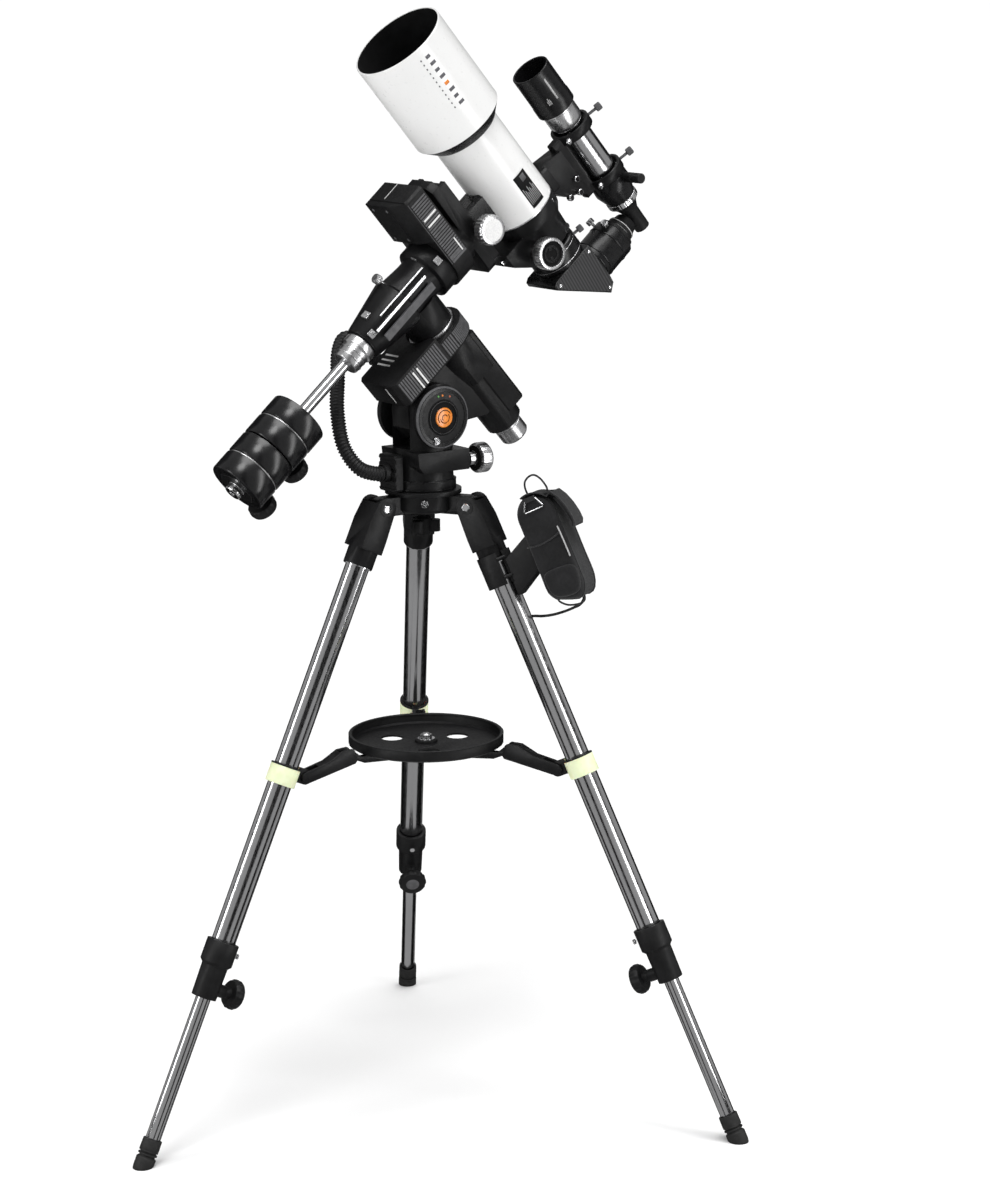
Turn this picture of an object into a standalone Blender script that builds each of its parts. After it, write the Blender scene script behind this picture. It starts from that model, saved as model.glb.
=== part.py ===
"""Refractor telescope on a German equatorial mount and a three-legged field tripod.

Metres, +Z up.  -X is north, the side the telescope and the polar axis point to.
Every sub-part is one closed solid.  The moving groups hang from empties that
stand on their joint axes, so a piece is written in its group's own frame.
"""
import math

import bmesh
import bpy
from mathutils import Matrix, Vector

# ---------------------------------------------------------------- dimensions
GAP = 0.0003                    # air between neighbouring pieces

LATITUDE = math.radians(49.0)   # tilt of the polar axis above the ground
CENTRE_X = -0.04425             # shift that puts the bounding box over the origin
CENTRE_Y = 0.0

# tripod
LEG_AZIMUTHS = {"a": 180.0, "b": -60.0, "c": 60.0}
HINGE_R = 0.070                 # leg hinge pins, from the vertical axis
HINGE_Z = 0.812
HUB_BOTTOM = 0.8020
FOOT_R = 0.4434                 # foot tips, from the vertical axis
LEG_TUBE_R = 0.015875           # 1.25 inch tube
LEG_TUBE_BORE_R = 0.01435
LEG_SOCKET_R = 0.0196           # socket that holds its top end, and where the socket ends
LEG_SOCKET_END = -0.080
LOWER_TUBE_R = 0.0100
COLLAR_S = 0.365                # spreader collar, distance from the hinge
CLAMP_S = (0.590, 0.665)        # leg clamp, distances from the hinge
CLAMP_KNOB_AT = (0, 0, -0.6520)
ARM_PIN_OUT = (0.190, 0.473)    # spreader arm pins as (radius, height)
ARM_PIN_IN = (0.124, 0.491)
TRAY_R = 0.1025
TRAY_Z = 0.4870                 # underside of the tray
TRAY_HOLE_AT = 0.050            # its eyepiece holes, from the vertical axis

# handset cord, in the leg's frame; the hank's outline stands in a plane turned about the leg
HANDSET_CORD_R = 0.0018
HANDSET_CORD_RUN = [(0.0964, 0, -0.1629), (0.0955, 0, -0.1656), (0.0915, 0, -0.1690), (0.0852, 0.001, -0.1712),
                    (0.0764, 0.003, -0.1716), (0.0624, 0.006, -0.1719), (0.0422, 0.011, -0.1707),
                    (0.0242, 0.016, -0.1675), (0.0090, 0.0205, -0.1630), (-0.0030, 0.0235, -0.1618),
                    (-0.0120, 0.0260, -0.1660), (-0.0165, 0.0285, -0.1760), (-0.0175, 0.0302, -0.1890),
                    (-0.0165, 0.0310, -0.2020), (-0.0151, 0.0310, -0.2150)]
HANK_TURN = math.radians(26.0)
HANK_AT = 0.0345                # from the leg's axis
HANK_TOP = -0.2110
HANK_RUN = 0.058                # straight part of its turns
HANK_HALF_WIDTH = 0.0165
HANK_HALF_DEPTH = 0.0056

# mount head
LATITUDE_KNOB_AT = (0, 0, 0.8605)
PIVOT_Z = 0.9275                # latitude axis
RA_X = 0.084                    # polar axis, above the latitude axis
DEC_Z = 0.133                   # declination axis, along the polar axis
DISC_R = 0.040                  # latitude discs
FORK_R = 0.039                  # azimuth head
FORK_TOP_R = 0.0428             # rounded top of its two arms, about the latitude axis
COVER_R = 0.0400                # rounded end of a drive cover
RA_REACH = 0.109                # from the axis to the square end of its cover
RA_COVER_TOP = 0.0800
DEC_REACH = 0.1080
DEC_COVER_X = 0.1425            # its near and far faces, along the declination axis
DEC_COVER_END = 0.1735
RING_Z = (0.0705, 0.0755)       # setting ring on the polar axis
HOUSING_X = -0.0045             # lower end of the declination housing
WEIGHT_R = 0.0390
WEIGHT_ENDS = ((-0.1935, -0.1315), (-0.2565, -0.1945))  # along the declination axis
WEIGHT_KNOB_TURN = math.radians(192.0)

# telescope
OTA_X = 0.2875                  # optical axis, above the latitude axis
SHIELD_R = 0.0626
TUBE_R = 0.0462
FRONT_Z = 0.379
SHIELD_BACK_Z = 0.242
TUBE_FRONT_Z = 0.2255
TUBE_BACK_Z = 0.090
SADDLE_KNOB_AT = (0.2070, 0, DEC_Z)
PINION_AT = (0.2540, 0, 0.0440)  # focusing pinion, in the tilted frame
EYE_Z = -0.0475                 # axis of the eyepiece holder
FINDER_X = 0.4150               # finder axis, above the latitude axis

LEG_TILT = math.atan2(FOOT_R - HINGE_R, HINGE_Z)
LEG_LENGTH = math.hypot(FOOT_R - HINGE_R, HINGE_Z)


# ------------------------------------------------------------------- helpers
def clear_scene():
    for obj in list(bpy.data.objects):
        bpy.data.objects.remove(obj, do_unlink=True)


clear_scene()
MODEL = bpy.data.collections.new("refractor_telescope")
bpy.context.scene.collection.children.link(MODEL)
CUTTERS = bpy.data.collections.new("cutters")
CUTTERS.hide_render = True
bpy.context.scene.collection.children.link(CUTTERS)


def new_object(name, bm):
    """A mesh object from a bmesh, its faces turned outwards."""
    bmesh.ops.recalc_face_normals(bm, faces=bm.faces)
    mesh = bpy.data.meshes.new(name)
    bm.to_mesh(mesh)
    bm.free()
    obj = bpy.data.objects.new(name, mesh)
    CUTTERS.objects.link(obj)
    return obj


def turned(profile, segments=24, axis="Z", at=(0, 0, 0)):
    """A solid of revolution.  The profile is a list of (radius, height); it is
    closed on the axis when its ends have radius 0, and as a ring otherwise."""
    bm = bmesh.new()
    rings = []
    for radius, height in profile:
        if radius == 0:
            rings.append([bm.verts.new((0, 0, height))])
            continue
        ring = []
        for i in range(segments):
            angle = 2 * math.pi * (i + 0.5) / segments
            ring.append(bm.verts.new((radius * math.cos(angle), radius * math.sin(angle), height)))
        rings.append(ring)
    pairs = list(zip(rings, rings[1:]))
    if profile[0][0] > 0:
        pairs.append((rings[-1], rings[0]))
    for low, high in pairs:
        if len(low) == 1 and len(high) == 1:
            continue
        for i in range(segments):
            j = (i + 1) % segments
            if len(low) == 1:
                bm.faces.new((low[0], high[i], high[j]))
            elif len(high) == 1:
                bm.faces.new((low[i], low[j], high[0]))
            else:
                bm.faces.new((low[i], low[j], high[j], high[i]))
    turn_to = {
        "Z": Matrix(),
        "X": Matrix.Rotation(math.pi / 2, 4, "Y"),
        "Y": Matrix.Rotation(-math.pi / 2, 4, "X"),
    }
    bm.transform(Matrix.Translation(at) @ turn_to[axis])
    return new_object("turned", bm)


def rod(radius, low, high, segments=24, axis="Z", at=(0, 0, 0), bore=0.0):
    """A plain cylinder, or a ring when it has a bore."""
    if bore:
        profile = [(bore, low), (radius, low), (radius, high), (bore, high)]
    else:
        profile = [(0, low), (radius, low), (radius, high), (0, high)]
    return turned(profile, segments, axis, at)


def prism(outline, low, high, axis="Y"):
    """An outline pushed along an axis.  It is in (x, z) for Y, (y, z) for X and (x, y) for Z."""
    spots = {
        "Y": lambda u, v, w: (u, w, v),
        "X": lambda u, v, w: (w, u, v),
        "Z": lambda u, v, w: (u, v, w),
    }[axis]
    bm = bmesh.new()
    bottom = [bm.verts.new(spots(u, v, low)) for u, v in outline]
    top = [bm.verts.new(spots(u, v, high)) for u, v in outline]
    bm.faces.new(bottom)
    bm.faces.new(top)
    for i in range(len(outline)):
        j = (i + 1) % len(outline)
        bm.faces.new((bottom[i], bottom[j], top[j], top[i]))
    return new_object("prism", bm)


def box(low, high, chamfer=0.0, axis="Z"):
    """A block between two corners, the four edges along one axis chamfered."""
    (x0, y0, z0), (x1, y1, z1) = low, high
    spans = {
        "Z": ((x0, y0), (x1, y1), (z0, z1)),
        "Y": ((x0, z0), (x1, z1), (y0, y1)),
        "X": ((y0, z0), (y1, z1), (x0, x1)),
    }
    (u0, v0), (u1, v1), (w0, w1) = spans[axis]
    c = chamfer
    if c:
        outline = [(u0 + c, v0), (u1 - c, v0), (u1, v0 + c), (u1, v1 - c)]
        outline += [(u1 - c, v1), (u0 + c, v1), (u0, v1 - c), (u0, v0 + c)]
    else:
        outline = [(u0, v0), (u1, v0), (u1, v1), (u0, v1)]
    return prism(outline, w0, w1, axis)


def arc(cx, cy, radius, start, end, steps):
    """Points on an arc, angles in degrees."""
    points = []
    for i in range(steps + 1):
        angle = math.radians(start + (end - start) * i / steps)
        points.append((cx + radius * math.cos(angle), cy + radius * math.sin(angle)))
    return points


def swept(path, radius, segments=10, smooth=4):
    """A round tube along a smoothed line of points, its ends closed."""
    points = [Vector(p) for p in path]
    line = []
    for i in range(len(points) - 1):
        before = points[max(i - 1, 0)]
        after = points[min(i + 2, len(points) - 1)]
        for step in range(smooth):
            t = step / smooth
            a, b = points[i], points[i + 1]
            line.append(0.5 * ((2 * a) + (b - before) * t + (2 * before - 5 * a + 4 * b - after) * t * t
                               + (3 * a - before - 3 * b + after) * t * t * t))
    line.append(points[-1])
    bm = bmesh.new()
    rings = []
    side = None
    for i, point in enumerate(line):
        ahead = line[min(i + 1, len(line) - 1)] - line[max(i - 1, 0)]
        ahead.normalize()
        if side is None:
            side = ahead.orthogonal().normalized()
        side = (side - ahead * side.dot(ahead)).normalized()
        other = ahead.cross(side)
        ring = []
        for k in range(segments):
            angle = 2 * math.pi * k / segments
            ring.append(bm.verts.new(point + radius * (math.cos(angle) * side + math.sin(angle) * other)))
        rings.append(ring)
    for low, high in zip(rings, rings[1:]):
        for k in range(segments):
            n = (k + 1) % segments
            bm.faces.new((low[k], low[n], high[n], high[k]))
    bm.faces.new(rings[0])
    bm.faces.new(rings[-1])
    return new_object("swept", bm)


def combine(base, others, operation):
    """Joins or cuts with the exact solver, and bakes the result into the base."""
    for other in others:
        change = base.modifiers.new(operation, "BOOLEAN")
        change.operation = operation
        change.solver = "EXACT"
        change.object = other
        bpy.context.view_layer.update()
        graph = bpy.context.evaluated_depsgraph_get()
        mesh = bpy.data.meshes.new_from_object(base.evaluated_get(graph))
        base.modifiers.clear()
        base.data = mesh
        bpy.data.objects.remove(other, do_unlink=True)
    return base


def union(base, *others):
    return combine(base, others, "UNION")


def cut(base, *others):
    return combine(base, others, "DIFFERENCE")


def empty(name, parent, location=(0, 0, 0), rotation=(0, 0, 0)):
    """A group's own frame, placed in its parent's."""
    obj = bpy.data.objects.new(name, None)
    obj.empty_display_size = 0.03
    hang(obj, parent)
    obj.location = location
    obj.rotation_euler = rotation
    MODEL.objects.link(obj)
    return obj


def axis_empty(name, parent, point):
    """An empty on a joint's axis.  Its children are still written in the parent group's frame."""
    AXIS_POINTS[name] = Vector(point)
    return empty(name, parent, point)


def hang(obj, parent):
    """Parents an object, undoing the shift of a parent that stands on a joint's axis."""
    obj.parent = parent
    if parent and parent.name in AXIS_POINTS:
        obj.matrix_parent_inverse = Matrix.Translation(-AXIS_POINTS[parent.name])


AXIS_POINTS = {}


MATERIALS = {
    "black_paint": ((0.018, 0.018, 0.019), 0.0, 0.42),
    "black_plastic": ((0.022, 0.022, 0.023), 0.0, 0.5),
    "dark_grey_plastic": ((0.10, 0.10, 0.105), 0.0, 0.5),
    "aluminium": ((0.72, 0.72, 0.73), 1.0, 0.28),
    "chrome": ((0.86, 0.86, 0.87), 1.0, 0.12),
    "rubber": ((0.02, 0.02, 0.02), 0.0, 0.8),
    "white_paint": ((0.86, 0.86, 0.85), 0.0, 0.22),
    "glow_plastic": ((0.83, 0.90, 0.55), 0.0, 0.5),
    "coated_glass": ((0.10, 0.14, 0.13), 0.0, 0.03),
    "pouch_fabric": ((0.03, 0.03, 0.032), 0.0, 0.85),
}


def material(name):
    found = bpy.data.materials.get(name)
    if found:
        return found
    colour, metal, rough = MATERIALS[name]
    made = bpy.data.materials.new(name)
    made.use_nodes = True
    shader = made.node_tree.nodes["Principled BSDF"]
    shader.inputs["Base Color"].default_value = (*colour, 1.0)
    shader.inputs["Metallic"].default_value = metal
    shader.inputs["Roughness"].default_value = rough
    return made


def finish(obj, name, parent, look):
    """Names a finished solid and hangs it from its group's empty."""
    obj.name = name
    obj.data.name = name
    obj.data.materials.clear()
    obj.data.materials.append(material(look))
    CUTTERS.objects.unlink(obj)
    MODEL.objects.link(obj)
    hang(obj, parent)
    return obj


# -------------------------------------------------------------------- tripod
def build_hub(base):
    """Round casting under the mount, with a drilled lug for each leg hinge."""
    profile = [(0, HUB_BOTTOM), (0.0400, HUB_BOTTOM), (0.0450, HUB_BOTTOM + 0.0045), (0.0450, 0.8235)]
    profile += [(0.0500, 0.8245), (0.0500, 0.8305), (0, 0.8305)]
    hub = turned(profile, 30)
    for azimuth in LEG_AZIMUTHS.values():
        outline = [(0.030, -0.0118)] + arc(HINGE_R, 0.0, 0.0118, -90, 90, 8) + [(0.030, 0.0118)]
        lug = prism(outline, -0.0120, 0.0120, "Y")
        hole = rod(0.0039, -0.02, 0.02, 12, "Y", (HINGE_R, 0, 0))
        for piece in (lug, hole):
            piece.data.transform(Matrix.Translation((0, 0, HINGE_Z)))
            piece.data.transform(Matrix.Rotation(math.radians(azimuth), 4, "Z"))
        hub = cut(union(hub, lug), hole)
    finish(hub, "tripod_hub", base, "black_paint")


def build_spindle_knob(base):
    """Knob under the hub that screws the mount down: a stem and three lobes."""
    top = HUB_BOTTOM - GAP
    profile = [(0, 0.768), (0.0085, 0.768), (0.0105, 0.772), (0.0105, 0.790)]
    knob = turned(profile + [(0.0065, 0.7945), (0.0065, top), (0, top)], 16)
    for turn in (-35, 85, 205):
        lobe = rod(0.0078, 0.773, 0.7885, 12)
        lobe.data.transform(Matrix.Translation((0.014, 0, 0)))
        lobe.data.transform(Matrix.Rotation(math.radians(turn), 4, "Z"))
        knob = union(knob, lobe)
    finish(knob, "spindle_knob", base, "black_plastic")


def build_upper_leg(leg, letter):
    """Hinge fork and outer tube, bonded together."""
    cheek = arc(0.0, 0.0, 0.0145, 15, 165, 8)
    cheek += [(-0.0165, -0.040), (-0.0165, -0.058), (0.0175, -0.058), (0.0175, -0.020)]
    fork = prism(cheek, -0.0200, 0.0200, "Y")
    slot = box((-0.05, -0.0120 - GAP, -0.026), (0.0140, 0.0120 + GAP, 0.05))
    fork = cut(fork, slot)
    socket = rod(LEG_SOCKET_R, LEG_SOCKET_END, -0.050, 24)
    tube = rod(LEG_TUBE_R, -0.640, -0.060, 24, bore=LEG_TUBE_BORE_R)
    tube_hole = rod(LEG_TUBE_BORE_R, -0.090, -0.062, 24)
    pin = rod(0.0034, -0.0185, 0.0185, 10, "Y")
    upper = union(cut(union(fork, socket), tube_hole), tube, pin)
    finish(upper, f"upper_leg_{letter}", leg, "aluminium")


def build_clamp(leg, letter):
    """Plastic collar that closes the outer tube and grips the inner one, with its knob."""
    top, bottom = -CLAMP_S[0], -CLAMP_S[1]
    profile = [(LEG_TUBE_R + GAP, top), (0.0212, top), (0.0212, -0.6185), (0.0172, -0.6225), (0.0165, bottom)]
    profile += [(LOWER_TUBE_R + GAP, bottom), (LOWER_TUBE_R + GAP, -0.6405), (LEG_TUBE_R + GAP, -0.6405)]
    boss = rod(0.0085, -0.0270, -0.0135, 14, "X", CLAMP_KNOB_AT)
    finish(union(turned(profile, 24), boss), f"leg_clamp_{letter}", leg, "black_plastic")
    profile = [(0, -0.0485), (0.0165, -0.0485), (0.0198, -0.0455), (0.0198, -0.0385), (0.0165, -0.0350)]
    profile += [(0.0075, -0.0345), (0.0060, -0.0270 - GAP), (0, -0.0270 - GAP)]
    axis = axis_empty(f"clamp_knob_axis_{letter}", leg, CLAMP_KNOB_AT)
    finish(turned(profile, 18, "X", CLAMP_KNOB_AT), f"clamp_knob_{letter}", axis, "black_plastic")


def leg_point(radius, height):
    """A (radius, height) point of the leg's plane in the leg's own frame, as (x, z)."""
    dr = radius - HINGE_R
    dz = height - HINGE_Z
    c = math.cos(LEG_TILT)
    s = math.sin(LEG_TILT)
    return (dr * c + dz * s, dz * c - dr * s)


def build_collar(leg, letter):
    """Pale band round the tube and the lug that takes the spreader arm."""
    band = rod(0.0197, -COLLAR_S - 0.0120, -COLLAR_S + 0.0120, 24, bore=LEG_TUBE_R + GAP)
    px, pz = leg_point(*ARM_PIN_OUT)
    outline = arc(px, pz, 0.0100, 90, 270, 8) + [(-0.0172, pz - 0.0100), (-0.0172, pz + 0.0100)]
    lug = prism(outline, -0.0045, 0.0045, "Y")
    hole = rod(0.0034, -0.02, 0.02, 10, "Y", (px, 0, pz))
    finish(cut(union(band, lug), hole), f"spreader_collar_{letter}", leg, "glow_plastic")


def build_lower_leg(lower, letter):
    """Inner tube that slides in the outer one, and its rubber foot."""
    tube = rod(LOWER_TUBE_R, -0.8660, -0.2940, 18, bore=0.0085)
    finish(tube, f"lower_tube_{letter}", lower, "aluminium")
    tip = -LEG_LENGTH
    profile = [(0, -0.8700), (0.0103, -0.8700), (0.0103, -0.8560), (0.0125, -0.8560), (0.0128, -0.8700)]
    profile += [(0.0105, -0.8730), (0.0105, -0.8790), (0.0130, -0.8810), (0.0130, tip), (0.0110, tip - 0.012)]
    foot = turned(profile + [(0, tip - 0.012)], 18)
    below = box((-0.06, -0.06, -0.06), (0.06, 0.06, 0.0))
    below.data.transform(Matrix.Rotation(LEG_TILT, 4, "Y"))
    below.data.transform(Matrix.Translation((0, 0, tip)))
    finish(cut(foot, below), f"foot_{letter}", lower, "rubber")


def build_arm(pivot, letter):
    """Spreader arm between the spider's end and a collar: two cheeks and a web."""
    length = math.hypot(ARM_PIN_OUT[0] - ARM_PIN_IN[0], ARM_PIN_OUT[1] - ARM_PIN_IN[1])
    outline = [(-0.0085, 0.0045), (-0.0060, 0.0080), (0.0093, 0.0114), (0.0331, 0.0062)]
    outline += arc(length, 0, 0.0080, 75, -90, 6) + [(-0.0050, -0.0128), (-0.0085, -0.0095)]
    arm = prism(outline, -0.0085, 0.0085, "Y")
    inner = box((-0.020, -0.0045 - GAP, -0.02), (0.0115, 0.0045 + GAP, 0.02))
    outer = box((length - 0.0215, -0.0045 - GAP, -0.02), (length + 0.02, 0.0045 + GAP, 0.02))
    pin = rod(0.0030, -0.0070, 0.0070, 10, "Y")
    finish(union(cut(arm, inner, outer), pin), f"spreader_arm_{letter}", pivot, "black_paint")


def build_spider(lift):
    """Three-armed casting under the tray, drilled at its ends for the spreader arms."""
    radius, height = ARM_PIN_IN
    profile = [(0, TRAY_Z - 0.0210), (0.016, TRAY_Z - 0.0210), (0.022, TRAY_Z - 0.015)]
    spider = turned(profile + [(0.022, TRAY_Z - GAP), (0, TRAY_Z - GAP)], 18)
    for azimuth in LEG_AZIMUTHS.values():
        outline = [(0.005, TRAY_Z - 0.0165), (0.100, TRAY_Z - 0.0095), (0.118, height - 0.0058)]
        outline += arc(radius, height, 0.0060, -90, 90, 4)
        outline += [(0.1160, height + 0.0050), (0.1050, TRAY_Z - GAP), (0.005, TRAY_Z - GAP)]
        beam = prism(outline, -0.0045, 0.0045, "Y")
        hole = rod(0.0034, -0.02, 0.02, 10, "Y", (radius, 0, height))
        beam.data.transform(Matrix.Rotation(math.radians(azimuth), 4, "Z"))
        hole.data.transform(Matrix.Rotation(math.radians(azimuth), 4, "Z"))
        spider = cut(union(spider, beam), hole)
    finish(spider, "spreader_spider", lift, "black_paint")


def build_tray(lift):
    """Round accessory dish with a raised rim, three holes and a centre bolt."""
    rim = TRAY_Z + 0.0155
    floor = TRAY_Z + 0.0028
    profile = [(0, TRAY_Z), (TRAY_R - 0.0050, TRAY_Z), (TRAY_R, TRAY_Z + 0.0030), (TRAY_R, rim)]
    profile += [(TRAY_R - 0.0025, rim), (TRAY_R - 0.0040, TRAY_Z + 0.0050)]
    profile += [(TRAY_R - 0.0065, floor), (0, floor)]
    tray = turned(profile, 40)
    for azimuth in LEG_AZIMUTHS.values():
        angle = math.radians(azimuth + 60)
        place = (TRAY_HOLE_AT * math.cos(angle), TRAY_HOLE_AT * math.sin(angle), TRAY_Z)
        tray = cut(tray, rod(0.0148, -0.02, 0.02, 16, "Z", place))
    profile = [(0, 0.001), (0.0150, 0.001), (0.0150, 0.0060), (0.0075, 0.0070), (0.0065, 0.0110), (0, 0.0110)]
    bolt = turned(profile, 16, "Z", (0, 0, TRAY_Z))
    finish(union(tray, bolt), "tray", lift, "black_plastic")


def build_tripod(base):
    build_hub(base)
    build_spindle_knob(axis_empty("spindle_axis", base, (0, 0, HUB_BOTTOM)))
    lift = empty("tray_lift", base)
    build_spider(lift)
    build_tray(lift)
    slope = math.atan2(ARM_PIN_IN[1] - ARM_PIN_OUT[1], ARM_PIN_OUT[0] - ARM_PIN_IN[0])
    for letter, azimuth in LEG_AZIMUTHS.items():
        turn = math.radians(azimuth)
        hinge = (HINGE_R * math.cos(turn), HINGE_R * math.sin(turn), HINGE_Z)
        leg = empty(f"leg_axis_{letter}", base, hinge, (0, -LEG_TILT, turn))
        build_upper_leg(leg, letter)
        build_clamp(leg, letter)
        build_collar(leg, letter)
        build_lower_leg(empty(f"lower_leg_{letter}", leg), letter)
        pin = (ARM_PIN_IN[0] * math.cos(turn), ARM_PIN_IN[0] * math.sin(turn), ARM_PIN_IN[1])
        build_arm(empty(f"arm_axis_{letter}", lift, pin, (0, slope, turn)), letter)
        if letter == "b":
            build_handset_bracket(leg)
            build_pouch(leg)
            build_handset_cord(leg)


# ------------------------------------------------------------------- handset
def build_handset_bracket(leg):
    """Split clamp ring on the leg and the slanted arm that carries the pouch."""
    ring = rod(0.0225, -0.1110, -0.0680, 24, bore=LEG_TUBE_R + GAP)
    split = box((0.0100, -0.0040, -0.15), (0.0300, 0.0040, -0.05))
    split.data.transform(Matrix.Rotation(math.radians(-44), 4, "Z"))
    socket_room = rod(LEG_SOCKET_R + GAP, LEG_SOCKET_END - GAP, -0.05, 24)
    outline = [(0.0170, -0.1310), (0.0170, -0.0820), (0.0600, -0.0620), (0.0600, -0.1080)]
    arm = prism(outline, -0.0110, 0.0110, "Y")
    finish(cut(union(ring, arm), split, socket_room), "handset_bracket", leg, "black_plastic")


def build_pouch(leg):
    """Cloth pouch with the hand controller inside."""
    outline = arc(0.0885, -0.0450, 0.0275, 0, 180, 10)
    outline += [(0.0610, -0.1420), (0.0680, -0.1530), (0.0980, -0.1630), (0.1080, -0.1580), (0.1145, -0.1420)]
    finish(prism(outline, -0.026, 0.026, "Y"), "handset_pouch", leg, "pouch_fabric")


def build_handset_cord(leg):
    """The controller's cord: it sags from the pouch to the leg, and the rest is a hank tied behind it."""
    run = swept(HANDSET_CORD_RUN, HANDSET_CORD_R, 8, 3)
    r = HANK_HALF_WIDTH
    top = HANK_TOP - r
    bottom = top - HANK_RUN
    outline = arc(HANK_AT, top, r, 0, 180, 8) + arc(HANK_AT, bottom, r, 180, 360, 8)
    hank = prism(outline, -HANK_HALF_DEPTH, HANK_HALF_DEPTH, "X")
    end = bottom - r - 0.0140
    tail = swept([(0, HANK_AT, bottom - 0.010), (0, HANK_AT, bottom - r - 0.004), (0, HANK_AT, end)],
                 HANDSET_CORD_R, 8, 3)
    plug = box((-0.0060, HANK_AT - 0.0070, end - 0.0200), (0.0060, HANK_AT + 0.0070, end - GAP), 0.002, "Z")
    for piece in (hank, tail, plug):
        piece.data.transform(Matrix.Rotation(HANK_TURN, 4, "Z"))
    finish(union(hank, run, tail), "handset_cord", leg, "black_plastic")
    finish(plug, "cord_plug", leg, "black_plastic")


# ---------------------------------------------------------------- mount base
def build_azimuth_head(head):
    """Turning head: drum, latitude fork with its axle and end discs, and the bolt boss."""
    profile = [(0, 0.8310), (0.0430, 0.8310), (0.0430, 0.8430), (FORK_R + 0.001, 0.8450), (FORK_R, 0.8600)]
    drum = turned(profile + [(FORK_R, 0.9900), (0, 0.9900)], 32)
    above = box((-0.06, -0.06, PIVOT_Z), (0.06, 0.06, 1.02))
    rounding = rod(FORK_TOP_R, -0.07, 0.07, 40, "Y", (0, 0, PIVOT_Z))
    drum = cut(drum, cut(above, rounding))
    outline = [(-0.026, 0.8560), (-0.034, 0.8640), (-0.036, 0.8830), (0.044, 0.8830), (0.044, 0.8560)]
    skirt = prism(outline, -0.0425, 0.0425, "Y")
    boss = rod(0.0105, 0.030, 0.0700, 14, "X", LATITUDE_KNOB_AT)
    head_body = union(drum, skirt, boss)
    slot = box((-0.08, -0.0200, 0.8860), (0.08, 0.0200, 1.00))
    head_body = cut(head_body, slot)
    axle = rod(0.0110, -0.0450, 0.0450, 16, "Y", (0, 0, PIVOT_Z))
    profile = [(0, 0.0380), (DISC_R, 0.0380), (DISC_R, 0.0450), (0.0375, 0.0470), (0, 0.0470)]
    mirrored = [(radius, -height) for radius, height in reversed(profile)]
    far = turned(profile, 32, "Y", (0, 0, PIVOT_Z))
    near = turned(mirrored, 32, "Y", (0, 0, PIVOT_Z))
    finish(union(head_body, axle, near, far), "azimuth_head", head, "black_paint")
    panel = box((-0.0560, -0.0190, 0.8312), (-0.0435, 0.0190, 0.8790), 0.003, "X")
    for i in range(4):
        low = 0.8355 + 0.0108 * i
        groove = box((-0.06, -0.03, low), (-0.0545, 0.03, low + 0.0050))
        panel = cut(panel, groove)
    finish(panel, "control_box", head, "black_plastic")
    profile = [(0, 0.0703), (0.0080, 0.0703), (0.0090, 0.0800), (0.0178, 0.0820), (0.0202, 0.0850)]
    profile += [(0.0202, 0.0975), (0.0175, 0.1000), (0.0160, 0.1000), (0.0115, 0.0920), (0, 0.0920)]
    axis = axis_empty("latitude_knob_axis", head, LATITUDE_KNOB_AT)
    finish(turned(profile, 24, "X", LATITUDE_KNOB_AT), "latitude_knob", axis, "chrome")


def build_conduit(head):
    """Cable conduit from the control box round to the far side of the right-ascension drive."""
    path = [(-0.0575, 0, 0.8560), (-0.0730, 0, 0.8560), (-0.0970, 0.004, 0.8660), (-0.1130, 0.014, 0.8950),
            (-0.1110, 0.030, 0.9370), (-0.1000, 0.045, 0.9740), (-0.0900, 0.058, 1.0060),
            (-0.0740, 0.068, 1.0230), (-0.0530, 0.071, 1.0180), (-0.0400, 0.066, 1.0030),
            (-0.0340, 0.057, 0.9940), (-0.0320, 0.0435, 0.9920)]
    finish(swept(path, 0.0098, 12, 2), "conduit", head, "black_plastic")


# ------------------------------------------------------------- mount drives
def drive_cover(centre, reach, low, high, along):
    """Gear cover between two heights: round about its axis, square at the end it reaches to."""
    if along == "-X":
        c = 0.006
        r = COVER_R
        end = centre - reach
        outline = arc(centre, 0, r, -90, 90, 14) + [(end + c, r), (end, r - c), (end, c - r), (end + c, -r)]
        return prism(outline, low, high, "Z")
    c = 0.003
    r = COVER_R + 0.002
    end = centre + reach
    outline = arc(0, centre, r, 180, 360, 14) + [(r, end - c), (r - c, end), (c - r, end), (-r, end - c)]
    return prism(outline, low, high, "X")


def build_ra_housing(tilt):
    """Polar-axis casting: web with the latitude bore, round body and the motor pod on top."""
    outline = [(-0.018, -0.0335), (0.020, -0.0360), (0.0620, -0.0640), (0.0840, -0.0640), (0.0840, 0.0436)]
    outline += [(-0.004, 0.0436), (-0.022, 0.0280), (-0.0350, 0.0100), (-0.0350, -0.0120)]
    web = prism(outline, -0.0194, 0.0194, "Y")
    profile = [(0, -0.1030), (0.0225, -0.1030), (0.0255, -0.1000), (0.0255, -0.0200), (0.0300, 0.0100)]
    body = turned(profile + [(0.0330, 0.0436), (0, 0.0436)], 24, "Z", (RA_X, 0, 0))
    pod = box((0.0840, -0.0270, -0.0830), (0.1175, 0.0270, 0.0380), 0.004, "Z")
    step = box((0.0700, -0.0285, -0.0180), (0.1120, 0.0285, 0.0436), 0.005, "Z")
    boss = rod(0.0300, -0.0197, 0.0197, 28, "Y")
    bore = rod(0.0114, -0.05, 0.05, 20, "Y")
    housing = cut(union(body, web, pod, step, boss), bore)
    finish(housing, "ra_housing", tilt, "black_paint")


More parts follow.
